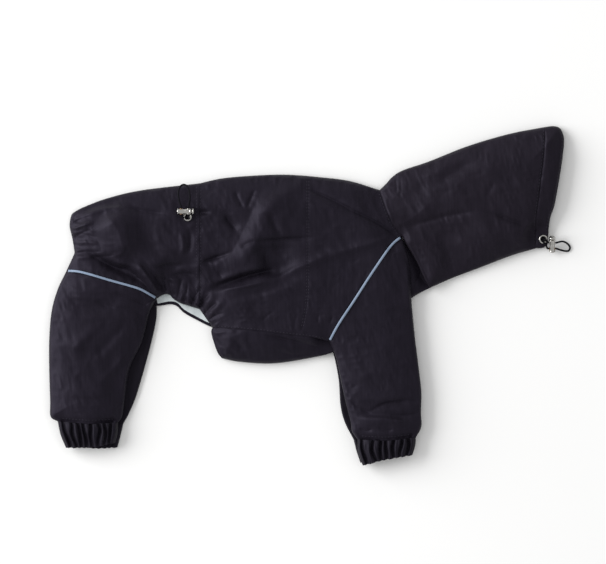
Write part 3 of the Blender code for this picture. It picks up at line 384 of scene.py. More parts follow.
# the largest folds: start, middle, end, height, half width
folds = [
    ((-98, 24), (-62, 46), (-50, 92), 2.6, 12.0),
    ((-60, 70), (-44, 114), (2, 122), 2.6, 9.0),
    ((-118, 2), (-88, 14), (-30, 34), -5.0, 4.5),
    ((-52, 66), (-42, 42), (-36, 14), -4.6, 9.0),
    ((-64, 60), (-30, 61), (9, 64), -1.6, 4.0),
    ((0, 117), (52, 96), (103, 66), -1.8, 4.0),
    ((-42, 22), (10, 44), (98, 67), 2.2, 6.0),
    ((-96, 7), (-40, 12), (4, 40), 2.2, 6.0),
    ((-94, 98), (-84, 84), (-72, 66), -2.6, 5.0),
    ((-114, 32), (-104, 42), (-90, 46), -2.2, 4.5),
    ((-250, 88), (-226, 100), (-196, 100), 2.4, 4.0),
    ((-182, 98), (-172, 64), (-170, 34), -3.0, 13.0),
    ((-234, 50), (-214, 32), (-170, 12), -6.4, 5.5),
    ((-196, 42), (-176, 24), (-158, -2), 4.0, 4.5),
    ((-199, 99), (-176, 92), (-150, 91), -2.2, 4.5),
    ((-164, 34), (-140, 40), (-114, 36), -4.0, 7.0),
    ((-172, 24), (-142, 28), (-106, 14), -3.4, 10.0),
    ((202, 155), (165, 146), (108, 106), -2.4, 7.0),
    ((109, 76), (150, 90), (191, 94), -1.2, 4.0),
    ((204, 94), (226, 82), (250, 75), -1.6, 3.5),
    ((54, -114), (84, -126), (124, -114), -2.2, 5.0),
    ((60, -138), (92, -132), (122, -142), 1.6, 5.0),
    ((-262, -4), (-236, -14), (-196, -6), -2.4, 9.0),
    ((-262, -60), (-240, -48), (-214, -32), 2.0, 8.0),
    ((-262, -96), (-240, -110), (-210, -104), 1.4, 8.0),
    ((-230, -60), (-206, -76), (-206, -120), -2.2, 10.0),
    ((-82, -44), (-76, -54), (-66, -60), -2.0, 5.0),
    ((-48, -42), (-12, -50), (22, -58), -2.0, 4.0),
    ((-142, 80), (-131, 79), (-120, 80), 3.0, 4.0),
    ((-144, 91), (-128, 91), (-104, 93), -2.4, 4.5),
]

# gathers that fan out of an elastic edge: centre x, y, first and last direction in degrees,
# radius, reach, waves, height
gathers = [
    (-128, -46, 36, 132, 42, 15, 7, 0.7),
    (-330, 66, -16, 20, 76, 13, 6, 0.6),
]


def hillWeights(p):
    # each hill's share: 1 inside its ellipse, falling to 0 across its edge by a smooth step
    for x, y, reachX, reachY, lift, crown, slope in hills:
        far = np.hypot((p[:, 0] - x) / reachX, (p[:, 1] - y) / reachY)
        yield step((1.15 + slope / 2 - far) / slope), lift, crown


def rimHeight(p):
    # height of the rolled edge: the plain one plus the highest lift of a hill
    lift = np.max([weight * most for weight, most, _ in hillWeights(p)], axis=0)
    return cloth["rimHeight"] + np.maximum(lift, 0)


def crownHeight(p):
    # rise of the middle over the edge: the plain one less the largest drop of a hill
    change = np.min([weight * most for weight, _, most in hillWeights(p)], axis=0)
    return cloth["crown"] + np.minimum(change, 0)


def spineOf(start, middle, end, points=25):
    # a quadratic curve: (1-s)^2 a + 2s(1-s) b + s^2 c
    s = np.linspace(0, 1, points)[:, None]
    a, b, c = (np.array(q, float) for q in (start, middle, end))
    return (1 - s) ** 2 * a + 2 * s * (1 - s) * b + s**2 * c


def foldHeight(p):
    # Each fold is height * exp(-(distance / half width)^2) along its spine, fading to its ends.
    total = np.zeros(len(p))
    for start, middle, end, height, width in folds:
        spine = spineOf(start, middle, end)
        box = np.all((p > spine.min(0) - 3 * width) & (p < spine.max(0) + 3 * width), axis=1)
        if not box.any():
            continue
        far, along, _ = nearest(p[box], spine)
        share = along / lengthAlong(spine)[-1]
        total[box] += height * step(3 * share) * step(3 * (1 - share)) * np.exp(-((far / width) ** 2))
    return total


def gatherHeight(p):
    # A fan of waves: height * cos(2 pi waves * turn), strongest at one radius from its centre.
    total = np.zeros(len(p))
    for x, y, first, last, radius, reach, waves, height in gathers:
        far = np.hypot(p[:, 0] - x, p[:, 1] - y)
        turn = np.degrees(np.arctan2(p[:, 1] - y, p[:, 0] - x))
        share = (turn - first) / (last - first)
        edge = step(share * 6 + 0.3) * step((1 - share) * 6 + 0.3)
        fade = np.exp(-(((far - radius) / reach) ** 2)) * edge
        total += height * fade * np.cos(2 * math.pi * waves * share + 0.6 * np.sin(9 * share))
    return total


def eyeletClear(p):
    # 0 on an eyelet and 1 well away from it
    places = [waistCord["eyelet"], hoodCord["eyelet"]]
    near = np.min([np.hypot(p[:, 0] - x, p[:, 1] - y) for x, y in places], axis=0)
    return step((near - cloth["eyeletClear"] / 2) / cloth["eyeletClear"])


def roll(radius, depth, delta):
    # a quarter-round edge: sqrt((radius - depth)^2 - (radius - delta)^2)
    across = np.maximum(radius - delta, 0)
    return np.sqrt(np.maximum((radius - depth) ** 2 - across**2, 0))


lattice = {"corners": 128, "shift": 500.0}


def noise(p, size, seed):
    # Soft lattice noise from -1 to 1: random heights at lattice corners, blended by 3t^2 - 2t^3.
    corners = lattice["corners"]
    table = np.random.default_rng(seed).uniform(-1, 1, (corners, corners))
    q = p / np.asarray(size, float) + lattice["shift"]
    i = np.floor(q).astype(int)
    f = q - i
    f = f * f * (3 - 2 * f)
    x0, y0 = i[:, 0] % corners, i[:, 1] % corners
    x1, y1 = (x0 + 1) % corners, (y0 + 1) % corners
    low = table[x0, y0] * (1 - f[:, 0]) + table[x1, y0] * f[:, 0]
    high = table[x0, y1] * (1 - f[:, 0]) + table[x1, y1] * f[:, 0]
    return low * (1 - f[:, 1]) + high * f[:, 1]


# small creases listed one by one, right half: start, middle, end, height, half width, form
# form: "soft" is a round ridge or trough, "sharp" a pinched line, "lap" a step that is higher on the
# left, "face" a flat slope that ends at its line, "bank" the same with a long fall beyond it
creases = [
    # hood
    ((201, 155), (168, 144), (120, 108), -1.3, 4.0, "lap"),
    ((186, 150), (160, 138), (138, 118), -1.2, 5.0, "soft"),
    ((98, 130), (101, 121), (99, 112), -0.9, 1.6, "sharp"),
    ((103, 134), (106, 124), (103, 108), -0.7, 1.6, "sharp"),
    ((109, 134), (114, 126), (112, 114), -0.5, 1.6, "sharp"),
    ((106, 74), (150, 90), (196, 95), -1.5, 1.7, "sharp"),
    ((190, 97), (222, 85), (254, 73), -2.4, 1.7, "sharp"),
    ((128, 60), (140, 52), (150, 40), -0.8, 3.0, "soft"),
    ((196, 108), (204, 116), (206, 128), -0.8, 3.0, "soft"),
    ((140, 116), (152, 112), (162, 118), -0.8, 2.0, "sharp"),
    ((150, 132), (158, 124), (156, 112), -0.7, 2.0, "sharp"),
    ((176, 134), (188, 132), (198, 138), -0.7, 1.8, "sharp"),
    ((212, 112), (222, 118), (236, 116), -0.6, 2.0, "sharp"),
    ((176, 66), (190, 60), (206, 64), -0.7, 2.0, "sharp"),
    # side
    ((-117, 160), (-117, 50), (-117, -60), -0.5, 1.0, "lap"),
    ((-6, 120), (20, 113), (56, 92), -3.2, 1.8, "sharp"),
    ((40, 99), (84, 82), (106, 61), -3.0, 1.8, "sharp"),
    ((-66, 59), (-30, 63), (16, 65), -3.0, 1.7, "sharp"),
    ((-101, 14), (-80, 22), (-32, 31), 2.8, 1.6, "lap"),
    ((-80, 22), (-58, 25), (-34, 30), -2.6, 2.4, "soft"),
    ((-42, 26), (-42, 38), (-46, 52), -2.0, 2.4, "sharp"),
    ((-66, 40), (-56, 46), (-48, 56), -1.4, 5.0, "soft"),
    ((-78, 20), (-54, 56), (-28, 122), 6.4, 18.0, "bank"),
    ((-30, 10), (-28, 38), (-34, 66), -9.0, 24.0, "face"),
    ((-72, 52), (-66, 60), (-54, 61), -2.4, 2.2, "sharp"),
    ((-116, 38), (-98, 42), (-82, 48), -1.6, 1.6, "sharp"),
    ((-79, 117), (-74, 107), (-69, 96), -3.0, 1.8, "sharp"),
    ((-56, 119), (-60, 108), (-66, 96), -3.0, 1.8, "sharp"),
    ((-90, 91), (-84, 82), (-75, 71), -1.5, 2.6, "soft"),
    ((-42, 96), (-36, 80), (-26, 60), -3.0, 3.4, "soft"),
    ((-98, 7), (-60, 11), (-40, 18), 1.6, 2.0, "soft"),
    ((-44, 16), (-14, 32), (28, 50), -1.5, 2.2, "lap"),
    ((24, 49), (66, 58), (98, 69), -1.2, 2.0, "lap"),
    ((-92, -4), (-46, -4), (-2, 22), -1.2, 2.4, "lap"),
    ((-118, 36), (-98, 44), (-78, 50), -3.0, 2.0, "sharp"),
    ((-122, 36), (-98, 38), (-90, 16), -2.4, 2.2, "sharp"),
    ((-50, -30), (-44, -20), (-34, -16), -1.0, 1.6, "sharp"),
    ((13, -31), (13, -24), (15, -17), -1.4, 1.6, "sharp"),
    ((26, -31), (28, -26), (30, -20), -1.2, 1.6, "sharp"),
    ((-12, -38), (-14, -26), (-8, -18), -1.0, 1.6, "sharp"),
    ((60, 8), (66, 18), (66, 30), -0.7, 2.0, "soft"),
    ((-22, 12), (-10, 2), (8, 0), -0.8, 2.0, "soft"),
    ((20, 98), (30, 84), (28, 70), -0.6, 2.4, "soft"),
    ((36, 40), (52, 34), (60, 44), -0.6, 2.2, "soft"),
    ((-24, 104), (-14, 96), (-12, 84), -0.8, 2.0, "soft"),
    ((-110, 108), (-100, 116), (-92, 118), 0.6, 2.5, "soft"),
    # hip
    ((-250, 88), (-226, 100), (-197, 99), -1.6, 1.8, "lap"),
    ((-200, 40), (-201, 72), (-223, 94), 8.8, 24.0, "face"),
    ((-214, 47), (-205, 43), (-200, 50), 1.4, 2.0, "soft"),
    ((-203, 46), (-197, 49), (-197, 57), -1.3, 1.5, "sharp"),
    ((-126, 94), (-114, 92), (-102, 93), -1.8, 3.0, "soft"),
    ((-238, 54), (-220, 32), (-188, 32), 4.2, 2.4, "lap"),
    ((-240, 42), (-226, 44), (-206, 46), -2.4, 2.4, "sharp"),
    ((-206, 38), (-186, 24), (-166, 2), -3.4, 2.6, "sharp"),
    ((-188, 40), (-176, 26), (-162, 2), 1.6, 1.5, "soft"),
    ((-182, 44), (-166, 24), (-152, 2), -3.0, 2.0, "sharp"),
    ((-199, 99), (-176, 92), (-150, 91), -1.4, 1.6, "sharp"),
    ((-158, 82), (-150, 76), (-144, 66), -1.0, 3.0, "soft"),
    ((-140, 72), (-131, 60), (-138, 44), 2.2, 3.0, "soft"),
    ((-130, 76), (-124, 62), (-130, 46), -2.2, 2.6, "soft"),
    ((-168, 56), (-152, 50), (-134, 54), 0.9, 4.0, "soft"),
    ((-170, 36), (-152, 28), (-134, 34), -1.8, 3.0, "soft"),
    ((-160, 26), (-150, 18), (-140, 16), 1.5, 2.2, "soft"),
    ((-168, 30), (-150, 37), (-130, 34), -3.2, 2.2, "sharp"),
    ((-152, 20), (-140, 27), (-120, 24), -2.8, 2.0, "sharp"),
    ((-120, 34), (-112, 26), (-104, 12), -2.4, 2.0, "sharp"),
    ((-108, 22), (-100, 14), (-92, 12), -1.8, 1.8, "sharp"),
    # gathers over the belly opening
    ((-109, -6), (-104, 12), (-99, 36), -4.2, 36.0, "face"),
    ((-155, 0), (-158, 14), (-156, 30), -3.0, 1.9, "sharp"),
    ((-148, -2), (-148, 10), (-152, 24), -2.6, 1.7, "sharp"),
    ((-141, -7), (-140, 8), (-136, 22), -3.2, 1.9, "sharp"),
    ((-134, -11), (-131, 4), (-130, 18), -2.6, 1.7, "sharp"),
    ((-127, -13), (-122, 0), (-116, 10), -3.0, 1.9, "sharp"),
    ((-120, -16), (-114, -4), (-104, 4), -2.8, 1.9, "sharp"),
    ((-114, -22), (-106, -12), (-96, -6), -2.6, 1.7, "sharp"),
    ((-109, -28), (-101, -20), (-90, -18), -2.0, 1.7, "sharp"),
    # tail
    ((-257, 80), (-248, 86), (-236, 88), -1.8, 1.9, "sharp"),
    ((-257, 72), (-246, 80), (-232, 82), 1.8, 2.2, "soft"),
    ((-256, 64), (-246, 72), (-234, 74), -2.0, 1.9, "sharp"),
    ((-251, 78), (-240, 76), (-230, 70), 1.0, 1.8, "soft"),
    ((-252, 70), (-240, 68), (-228, 64), -1.2, 1.6, "sharp"),
    ((-251, 60), (-240, 60), (-226, 58), 1.2, 2.2, "soft"),
    ((-252, 50), (-238, 48), (-222, 50), -2.2, 2.2, "sharp"),
    ((-256, 42), (-244, 44), (-232, 44), 1.6, 3.0, "soft"),
    # hind leg
    ((-262, 4), (-250, -8), (-246, -30), -0.9, 5.0, "soft"),
    ((-258, -62), (-238, -46), (-216, -24), 1.8, 4.0, "lap"),
    ((-240, -74), (-216, -50), (-196, -26), -1.8, 5.0, "soft"),
    ((-212, 4), (-190, -2), (-170, -12), -2.4, 2.0, "sharp"),
    ((-212, -14), (-192, -12), (-176, -22), -2.0, 2.4, "sharp"),
    ((-230, -96), (-212, -86), (-198, -60), 1.6, 4.5, "soft"),
    ((-256, -110), (-238, -116), (-216, -112), -0.8, 3.0, "soft"),
    ((-232, -4), (-222, -12), (-208, -12), -0.9, 2.2, "soft"),
    ((-252, -84), (-244, -94), (-246, -106), -0.6, 2.2, "soft"),
    # foreleg
    ((48, -114), (60, -124), (74, -129), -2.6, 1.7, "sharp"),
    ((68, -128), (92, -111), (114, -119), -2.8, 1.7, "sharp"),
    ((52, -133), (84, -129), (118, -139), -2.2, 2.0, "lap"),
    ((92, -130), (110, -133), (127, -127), -2.4, 1.7, "sharp"),
    ((98, -117), (112, -111), (127, -117), -2.0, 1.8, "sharp"),
    ((44, -96), (52, -104), (56, -96), -0.9, 1.8, "sharp"),
    ((56, -92), (76, -78), (100, -84), 0.7, 4.0, "soft"),
    ((66, -10), (84, -16), (104, -10), 0.6, 4.0, "soft"),
    ((40, -56), (62, -60), (88, -54), -0.7, 3.0, "soft"),
    ((78, -142), (88, -151), (98, -145), -1.8, 1.8, "sharp"),
    ((58, -144), (66, -151), (74, -145), -1.8, 1.8, "sharp"),
    # belly and chest
    ((104, 72), (121, 38), (139, 2), -2.8, 8.0, "soft"),
    ((120, -20), (117, 30), (106, 70), 2.4, 12.0, "face"),
    ((116, 6), (121, 19), (129, 27), -1.6, 1.2, "sharp"),
    ((107, 52), (113, 34), (115, 16), -1.2, 1.4, "sharp"),
    ((-82, -44), (-74, -54), (-62, -62), -1.5, 1.6, "sharp"),
    ((-66, -46), (-62, -54), (-56, -58), -1.0, 1.6, "sharp"),
    ((-50, -41), (-14, -49), (24, -58), -1.6, 1.4, "sharp"),
    ((-90, -64), (-84, -60), (-80, -66), 1.0, 1.8, "soft"),
    ((-30, -60), (-16, -66), (0, -64), -0.7, 1.8, "soft"),
]


def creaseHeight(p):
    # Soft is h exp(-(d/w)^2), sharp is h exp(-sqrt((d/w)^2 + 0.1)) and lap is h tanh(d/w)
    # exp(-(d/4w)^2) with d counted from the spine, all fading to the spine's ends. Face and bank
    # climb straight to the spine over w on its left and fall away softly on its right.
    total = np.zeros(len(p))
    for start, middle, end, height, width, form in creases:
        spine = spineOf(start, middle, end, 17)
        reach = 5 * width + 2
        box = np.all((p > spine.min(0) - reach) & (p < spine.max(0) + reach), axis=1)
        if not box.any():
            continue
        far, along, hand = nearest(p[box], spine)
        share = along / lengthAlong(spine)[-1]
        fade = step(3.5 * share) * step(3.5 * (1 - share))
        ratio = far / width
        if form == "soft":
            form = np.exp(-(ratio**2))
        elif form == "sharp":
            form = np.exp(-np.sqrt(ratio**2 + 0.1)) * np.exp(-((ratio / 4) ** 2))
        elif form in ("face", "bank"):
            fall = 0.7 if form == "face" else 2.0
            form = np.where(hand > 0, np.clip(1 - ratio, 0, 1), np.exp(-((ratio / fall) ** 2)))
        else:
            form = hand * np.tanh(ratio) * np.exp(-((ratio / 4) ** 2))
        total[box] += height * fade * form
    return total


# short puckers that stand across a seam: edge, height, reach to each side, spacing, seed
puckers = [
    ("waist", 0.6, 5.0, 4.6, 3),
    ("backFront", 0.9, 8.0, 4.0, 4),
    ("backRear", 0.5, 6.0, 5.0, 5),
    ("bellySeam", 0.5, 5.0, 5.5, 6),
    ("neck", 0.4, 5.0, 5.0, 7),
    ("foreSeam", 0.35, 6.0, 6.0, 8),
    ("hindSeam", 0.45, 7.0, 5.0, 9),
    ("casingSeam", 0.35, 4.0, 4.2, 10),
    ("hoodTop", 0.35, 6.0, 5.0, 11),
    ("tail", 2.2, 13.0, 4.0, 12),
    ("openingRear", 2.6, 14.0, 3.6, 13),
    ("openingFront", 2.6, 14.0, 3.6, 14),
    ("foreHem", 0.6, 9.0, 6.0, 15),
    ("hindHem", 0.6, 9.0, 6.0, 16),
]


def puckerHeight(p):
    # height * noise(along / spacing) * exp(-(distance / reach)^2), less right on the stitches.
    total = np.zeros(len(p))
    for name, height, reach, spacing, seed in puckers:
        line = curves[name]
        box = np.all((p > line.min(0) - 3 * reach) & (p < line.max(0) + 3 * reach), axis=1)
        if not box.any():
            continue
        far, along, hand = nearest(p[box], line)
        wave = noise(np.column_stack([along / spacing, hand * 7.3 + far / (2.5 * reach)]), 1.0, seed)
        total[box] += height * wave * np.exp(-((far / reach) ** 2)) * step(far / 2.2)
    return total


crumple = {
    "heights": (0.95, 0.9, 0.5),
    "sizes": (30.0, 13.0, 5.5),
    "seeds": (31, 32, 33),
    "bend": 5,
    "bendSize": 34,
    "bendSeeds": (21, 22),
    "lean": 0.35,
    "stretch": 0.8,
}


def crumpleHeight(p):
    # Crumpled cloth: three scales of folded noise, 1 - 2|n|, over slightly bent and leaning
    # coordinates, stronger in some places than in others.
    bends = [noise(p, crumple["bendSize"], seed) for seed in crumple["bendSeeds"]]
    bent = p + crumple["bend"] * np.column_stack(bends)
    lean = np.column_stack([bent[:, 0] + crumple["lean"] * bent[:, 1], bent[:, 1] * crumple["stretch"]])
    total = np.zeros(len(p))
    for height, size, seed in zip(crumple["heights"], crumple["sizes"], crumple["seeds"]):
        folded = 1 - 2 * np.sqrt(noise(lean, size, seed) ** 2 + 0.02)
        total += height * folded * (0.6 + 0.4 * noise(p, 3 * size, seed + 9))
    return total


def plainTop(p, rims):
    # The plain upper surface: rim height + roll + crown (1 - (1 - d/reach)^2) + folds - dips + gathers.
    delta = distanceTo(p, rims)
    share = np.clip(delta / cloth["crownReach"], 0, 1)
    crown = crownHeight(p) * (1 - (1 - share) ** 2)
    loose = foldHeight(p) * step(delta / cloth["foldClear"]) * eyeletClear(p)
    dip = cloth["seamDip"] * np.exp(-((distanceTo(p, seams) / cloth["seamDipWidth"]) ** 2))
    sewn = distanceTo(p, ["midBody", "casingSeam"])
    dip += cloth["stitchDip"] * np.exp(-((sewn / cloth["stitchDipWidth"]) ** 2))
    dip += cloth["hemDip"] * np.exp(-((distanceTo(p, hems) / cloth["hemDipWidth"]) ** 2))
    dip *= step(delta / cloth["foldClear"])
    rise = roll(cloth["rimRadius"], 0, delta)
    return rimHeight(p) + cloth["seamGap"] / 2 + rise + crown + loose - dip + gatherHeight(p), delta


def clothTop(p, rims=bodyRims):
    # the plain surface with its creases, puckers and crumple, which fade out at the rolled edges
    plain, delta = plainTop(p, rims)
    near = step(delta / 4)
    fine = creaseHeight(p) + puckerHeight(p) + crumpleHeight(p)
    return plain + fine * near * (0.25 + 0.75 * eyeletClear(p))


def hoodSurface(p):
    return clothTop(p, hoodRims)


# materials: dark colour, light colour, roughness, strength of the bump
looks = {
    "shell": ((0.0074, 0.0060, 0.0096), (0.0124, 0.0102, 0.0160), 0.50, 0.35),
    "hood": ((0.0078, 0.0062, 0.0094), (0.0130, 0.0104, 0.0156), 0.50, 0.35),
    "elastic": ((0.0056, 0.0048, 0.0070), (0.0098, 0.0084, 0.0122), 0.55, 0.30),
    # under: the shell cloth made darker for the left legs that lie beneath the right ones, painted shade
    "under": ((0.0050, 0.0042, 0.0062), (0.0086, 0.0072, 0.0106), 0.60, 0.30),
    "lining": ((0.50, 0.55, 0.56), (0.64, 0.69, 0.71), 0.80, 0.20),
    "piping": ((0.17, 0.22, 0.30), (0.26, 0.32, 0.42), 0.45, 0.15),
    # thread: lighter than the shell, partly the thread's own tone and partly a painted highlight on the
    # stitches
    "thread": ((0.022, 0.020, 0.027), (0.034, 0.031, 0.042), 0.55, 0.10),
    # the cord colours also paint the shade disc inside each eyelet's hole
    "cord": ((0.0012, 0.0012, 0.0014), (0.0034, 0.0034, 0.0038), 0.70, 0.30),
}
clothFinish = {
    "streaks": 420.0,
    "mottles": 60.0,
    "sheen": 0.01,
    "sheenRough": 0.4,
    "gloss": 0.13,
    "glossTint": (0.80, 0.74, 1.0),
    "bumpDepth": 0.0004,
    "ramp": (0.30, 0.70),
}
# colour, roughness
metals = {"metal": ((0.46, 0.45, 0.43), 0.17), "brass": ((0.24, 0.16, 0.10), 0.28)}


def newMaterial(name):
    material = bpy.data.materials.new(name)
    material.use_nodes = True
    return material, material.node_tree, material.node_tree.nodes["Principled BSDF"]


def addNode(tree, kind, place, **values):
    # an underscore in a value's name stands for the space in its socket's name
    node = tree.nodes.new(kind)
    node.location = place
    for name, value in values.items():
        node.inputs[name.replace("_", " ")].default_value = value
    return node


def weaveGroup():
    # fine upright streaks over a faint mottle: a mask from 0 to 1 and a height for the bump
    group = bpy.data.node_groups.new("clothWeave", "ShaderNodeTree")
    for name in ("StreakScale", "MottleScale"):
        group.interface.new_socket(name=name, in_out="INPUT", socket_type="NodeSocketFloat")
    for name in ("Mask", "Height"):
        group.interface.new_socket(name=name, in_out="OUTPUT", socket_type="NodeSocketFloat")
    start = group.nodes.new("NodeGroupInput")
    end = group.nodes.new("NodeGroupOutput")
    place = group.nodes.new("ShaderNodeTexCoord")
    stretch = addNode(group, "ShaderNodeMapping", (-400, 200), Scale=(1.0, 0.07, 0.25))
    streak = addNode(group, "ShaderNodeTexNoise", (-200, 200), Detail=3.0, Roughness=0.6)
    mottle = addNode(group, "ShaderNodeTexNoise", (-200, -100), Detail=4.0, Roughness=0.62)
    blend = addNode(group, "ShaderNodeMix", (0, 0))
    blend.data_type = "FLOAT"
    blend.inputs["Factor"].default_value = 0.45
    link = group.links.new
    link(place.outputs["Object"], stretch.inputs["Vector"])
    link(stretch.outputs["Vector"], streak.inputs["Vector"])
    link(place.outputs["Object"], mottle.inputs["Vector"])
    link(start.outputs["StreakScale"], streak.inputs["Scale"])
    link(start.outputs["MottleScale"], mottle.inputs["Scale"])
    link(streak.outputs["Fac"], blend.inputs["A"])
    link(mottle.outputs["Fac"], blend.inputs["B"])
    link(blend.outputs["Result"], end.inputs["Mask"])
    link(streak.outputs["Fac"], end.inputs["Height"])
    return group


weave = weaveGroup()


def clothMaterial(name):
    # dark and light of one colour mixed by the weave's mask, with the streaks as a light bump
    dark, light, rough, relief = looks[name]
    material, tree, surface = newMaterial(name)
    surface.inputs["Roughness"].default_value = rough
    surface.inputs["Sheen Weight"].default_value = clothFinish["sheen"]
    surface.inputs["Sheen Roughness"].default_value = clothFinish["sheenRough"]
    surface.inputs["Specular IOR Level"].default_value = clothFinish["gloss"]
    surface.inputs["Specular Tint"].default_value = (*clothFinish["glossTint"], 1)
    group = tree.nodes.new("ShaderNodeGroup")
    group.node_tree = weave
    group.inputs["StreakScale"].default_value = clothFinish["streaks"]
    group.inputs["MottleScale"].default_value = clothFinish["mottles"]
    ramp = tree.nodes.new("ShaderNodeValToRGB")
    for stop, place, colour in zip(ramp.color_ramp.elements, clothFinish["ramp"], (dark, light)):
        stop.position = place
        stop.color = (*colour, 1)
    bump = addNode(tree, "ShaderNodeBump", (-200, -300), Strength=relief, Distance=clothFinish["bumpDepth"])
    tree.links.new(group.outputs["Mask"], ramp.inputs["Fac"])
    tree.links.new(ramp.outputs["Color"], surface.inputs["Base Color"])
    tree.links.new(group.outputs["Height"], bump.inputs["Height"])
    tree.links.new(bump.outputs["Normal"], surface.inputs["Normal"])
    return material


def metalMaterial(name):
    # polished plating with faint handling marks in its gloss
    colour, rough = metals[name]
    material, tree, surface = newMaterial(name)
    surface.inputs["Base Color"].default_value = (*colour, 1)
    surface.inputs["Metallic"].default_value = 1.0
    place = tree.nodes.new("ShaderNodeTexCoord")
    marks = addNode(tree, "ShaderNodeTexNoise", (-400, 0), Scale=900.0, Detail=3.0)
    spread = addNode(tree, "ShaderNodeMapRange", (-200, 0))
    spread.inputs["To Min"].default_value = rough * 0.7
    spread.inputs["To Max"].default_value = rough * 1.4
    tree.links.new(place.outputs["Object"], marks.inputs["Vector"])
    tree.links.new(marks.outputs["Fac"], spread.inputs["Value"])
    tree.links.new(spread.outputs["Result"], surface.inputs["Roughness"])
    return material


def tableMaterial():
    # matt white paper with a very faint mottle
    material, tree, surface = newMaterial("table")
    surface.inputs["Roughness"].default_value = 0.9
    surface.inputs["Specular IOR Level"].default_value = 0.1
    place = tree.nodes.new("ShaderNodeTexCoord")
    mottle = addNode(tree, "ShaderNodeTexNoise", (-400, 0), Scale=3.0)
    ramp = tree.nodes.new("ShaderNodeValToRGB")
    ramp.color_ramp.elements[0].color = (*studio["table"], 1)
    ramp.color_ramp.elements[1].color = (*(v * 1.01 for v in studio["table"]), 1)
    tree.links.new(place.outputs["Object"], mottle.inputs["Vector"])
    tree.links.new(mottle.outputs["Fac"], ramp.inputs["Fac"])
    tree.links.new(ramp.outputs["Color"], surface.inputs["Base Color"])
    return material


materials = {name: clothMaterial(name) for name in looks}
materials.update({name: metalMaterial(name) for name in metals})
print("materials made")


# meshes
def gridMesh(name, points, material, flip=False, wrapColumns=False, wrapRows=False):
    # Quads between neighbouring points of a grid [row, column, xyz] in plan millimetres; counted
    # anticlockwise from the side that faces out, or the other way round when flipped.
    rows, columns = points.shape[:2]
    index = np.arange(rows * columns).reshape(rows, columns)
    if wrapColumns:
        index = np.hstack([index, index[:, :1]])
    if wrapRows:
        index = np.vstack([index, index[:1]])
    quads = np.stack([index[:-1, :-1], index[:-1, 1:], index[1:, 1:], index[1:, :-1]], -1).reshape(-1, 4)
    if flip:
        quads = quads[:, ::-1]
    return meshPiece(name, toMetres(points.reshape(-1, 3)), quads, material)


def meshPiece(name, points, faces, material):
    # a smooth mesh of points in metres and faces that all have as many corners
    mesh = bpy.data.meshes.new(name)
    mesh.vertices.add(len(points))
    mesh.vertices.foreach_set("co", np.asarray(points, np.float32).ravel())
    corners = faces.shape[1]
    mesh.loops.add(faces.size)
    mesh.loops.foreach_set("vertex_index", np.ascontiguousarray(faces, np.int32).ravel())
    mesh.polygons.add(len(faces))
    mesh.polygons.foreach_set("loop_start", np.arange(0, faces.size, corners, dtype=np.int32))
    mesh.update(calc_edges=True)
    mesh.validate()
    mesh.shade_smooth()
    mesh.materials.append(materials[material])
    piece = bpy.data.objects.new(name, mesh)
    bpy.context.scene.collection.objects.link(piece)
    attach(piece, "root")
    return piece


def thicken(piece, wall):
    # the wall grows inwards from the outer face
    modifier = piece.modifiers.new("wall", "SOLIDIFY")
    modifier.thickness = wall * 0.001
    modifier.offset = -1
    modifier.use_quality_normals = True


def outlineArea(sides):
    # shoelace: half the sum of x1 y2 - x2 y1 round the plan outline
    ring = np.vstack([side(names)[:-1] for names in sides])
    after = np.roll(ring, -1, axis=0)
    return abs((ring[:, 0] * after[:, 1] - after[:, 0] * ring[:, 1]).sum()) / 2, np.ptp(ring, axis=0)


def declareSheet(sides, plies):
    # the cut is the plan outline with a little ease for its crown, all round on a tube
    area, size = outlineArea(sides)
    width, length = size * cloth["ease"] * 0.001
    width *= plies


def finishCloth(piece, node, sides, wall, plies=1):
    thicken(piece, wall)
    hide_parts(node)
    declareSheet(sides, plies)


def count(length, spacing):
    return max(int(round(length / spacing)) + 1, 6)


def gridCounts(sides, spacing):
    # columns and rows that leave the spacing between points on the longer sides
    lengths = [lengthAlong(side(names))[-1] for names in sides]
    return count(max(lengths[0], lengths[2]), spacing), count(max(lengths[1], lengths[3]), spacing)


def heightsOn(flat, surface):
    # the surface's height at each point of a flat grid
    return surface(flat.reshape(-1, 2)).reshape(flat.shape[:2])


def joinPlies(over, under):
    # a ring at each row: left to right over the upper ply, then right to left under the lower one
    return np.concatenate([over, under[:, -2:0:-1]], axis=1)


# the right half: node, slot, and the bottom, right, top and left side of each panel
panelSpacing = {"right": 1.05, "left": 3.0}
hoodSides = [["hoodBottom"], ["-casingSeam"], ["-hoodTop"], ["neck", "throat"]]
casingSides = [["casingBottom"], ["-mouth"], ["-casingTop"], ["casingSeam"]]
rightPanels = {
    "sideRight": ("side_right", "shell",
                  [["openingFront", "bellySeam"], ["foreSeam", "-neck"], ["-backFront"], ["waist"]]),
    "hipRight": ("hip_right", "shell",
                 [["hindSeam", "openingRear"], ["-waist"], ["-backRear"], ["tail", "rump"]]),
    "hoodRight": ("hood_right", "hood", hoodSides),
    "casingRight": ("casing_right", "hood", casingSides),
}


def rightPanel(name):
    # a grid over the panel's outline, lifted onto the cloth's surface
    node, slot, sides = rightPanels[name]
    flat = patch(sides, *gridCounts(sides, panelSpacing["right"]))
    z = heightsOn(flat, hoodSurface if slot == "hood" else clothTop)
    finishCloth(gridMesh(name, np.dstack([flat, z]), slot), node, sides, cloth["wall"])


for panelName in rightPanels:
    rightPanel(panelName)
print("right panels made")


# legs; "margin" and "slope" say how a leg climbs onto the chest panel
chest = {"start": (28, -62.0), "end": (125, 3.0), "plies": 7.7, "margin": 22, "slope": 10}
legs = {
    "right": {"spacing": 1.25, "underColumns": 26, "wall": cloth["wall"], "material": "shell"},
    # the left legs take the "under" colours: the shell cloth with painted shade from the right legs above
    # them
    "left": {"spacing": 2.4, "underColumns": 20, "wall": 0.9, "material": "under", "crumple": 0.35},
}


def rightEdge(p):
    # the right half's edges lie half a seam gap above the rim height
    return rimHeight(p) + cloth["seamGap"] / 2


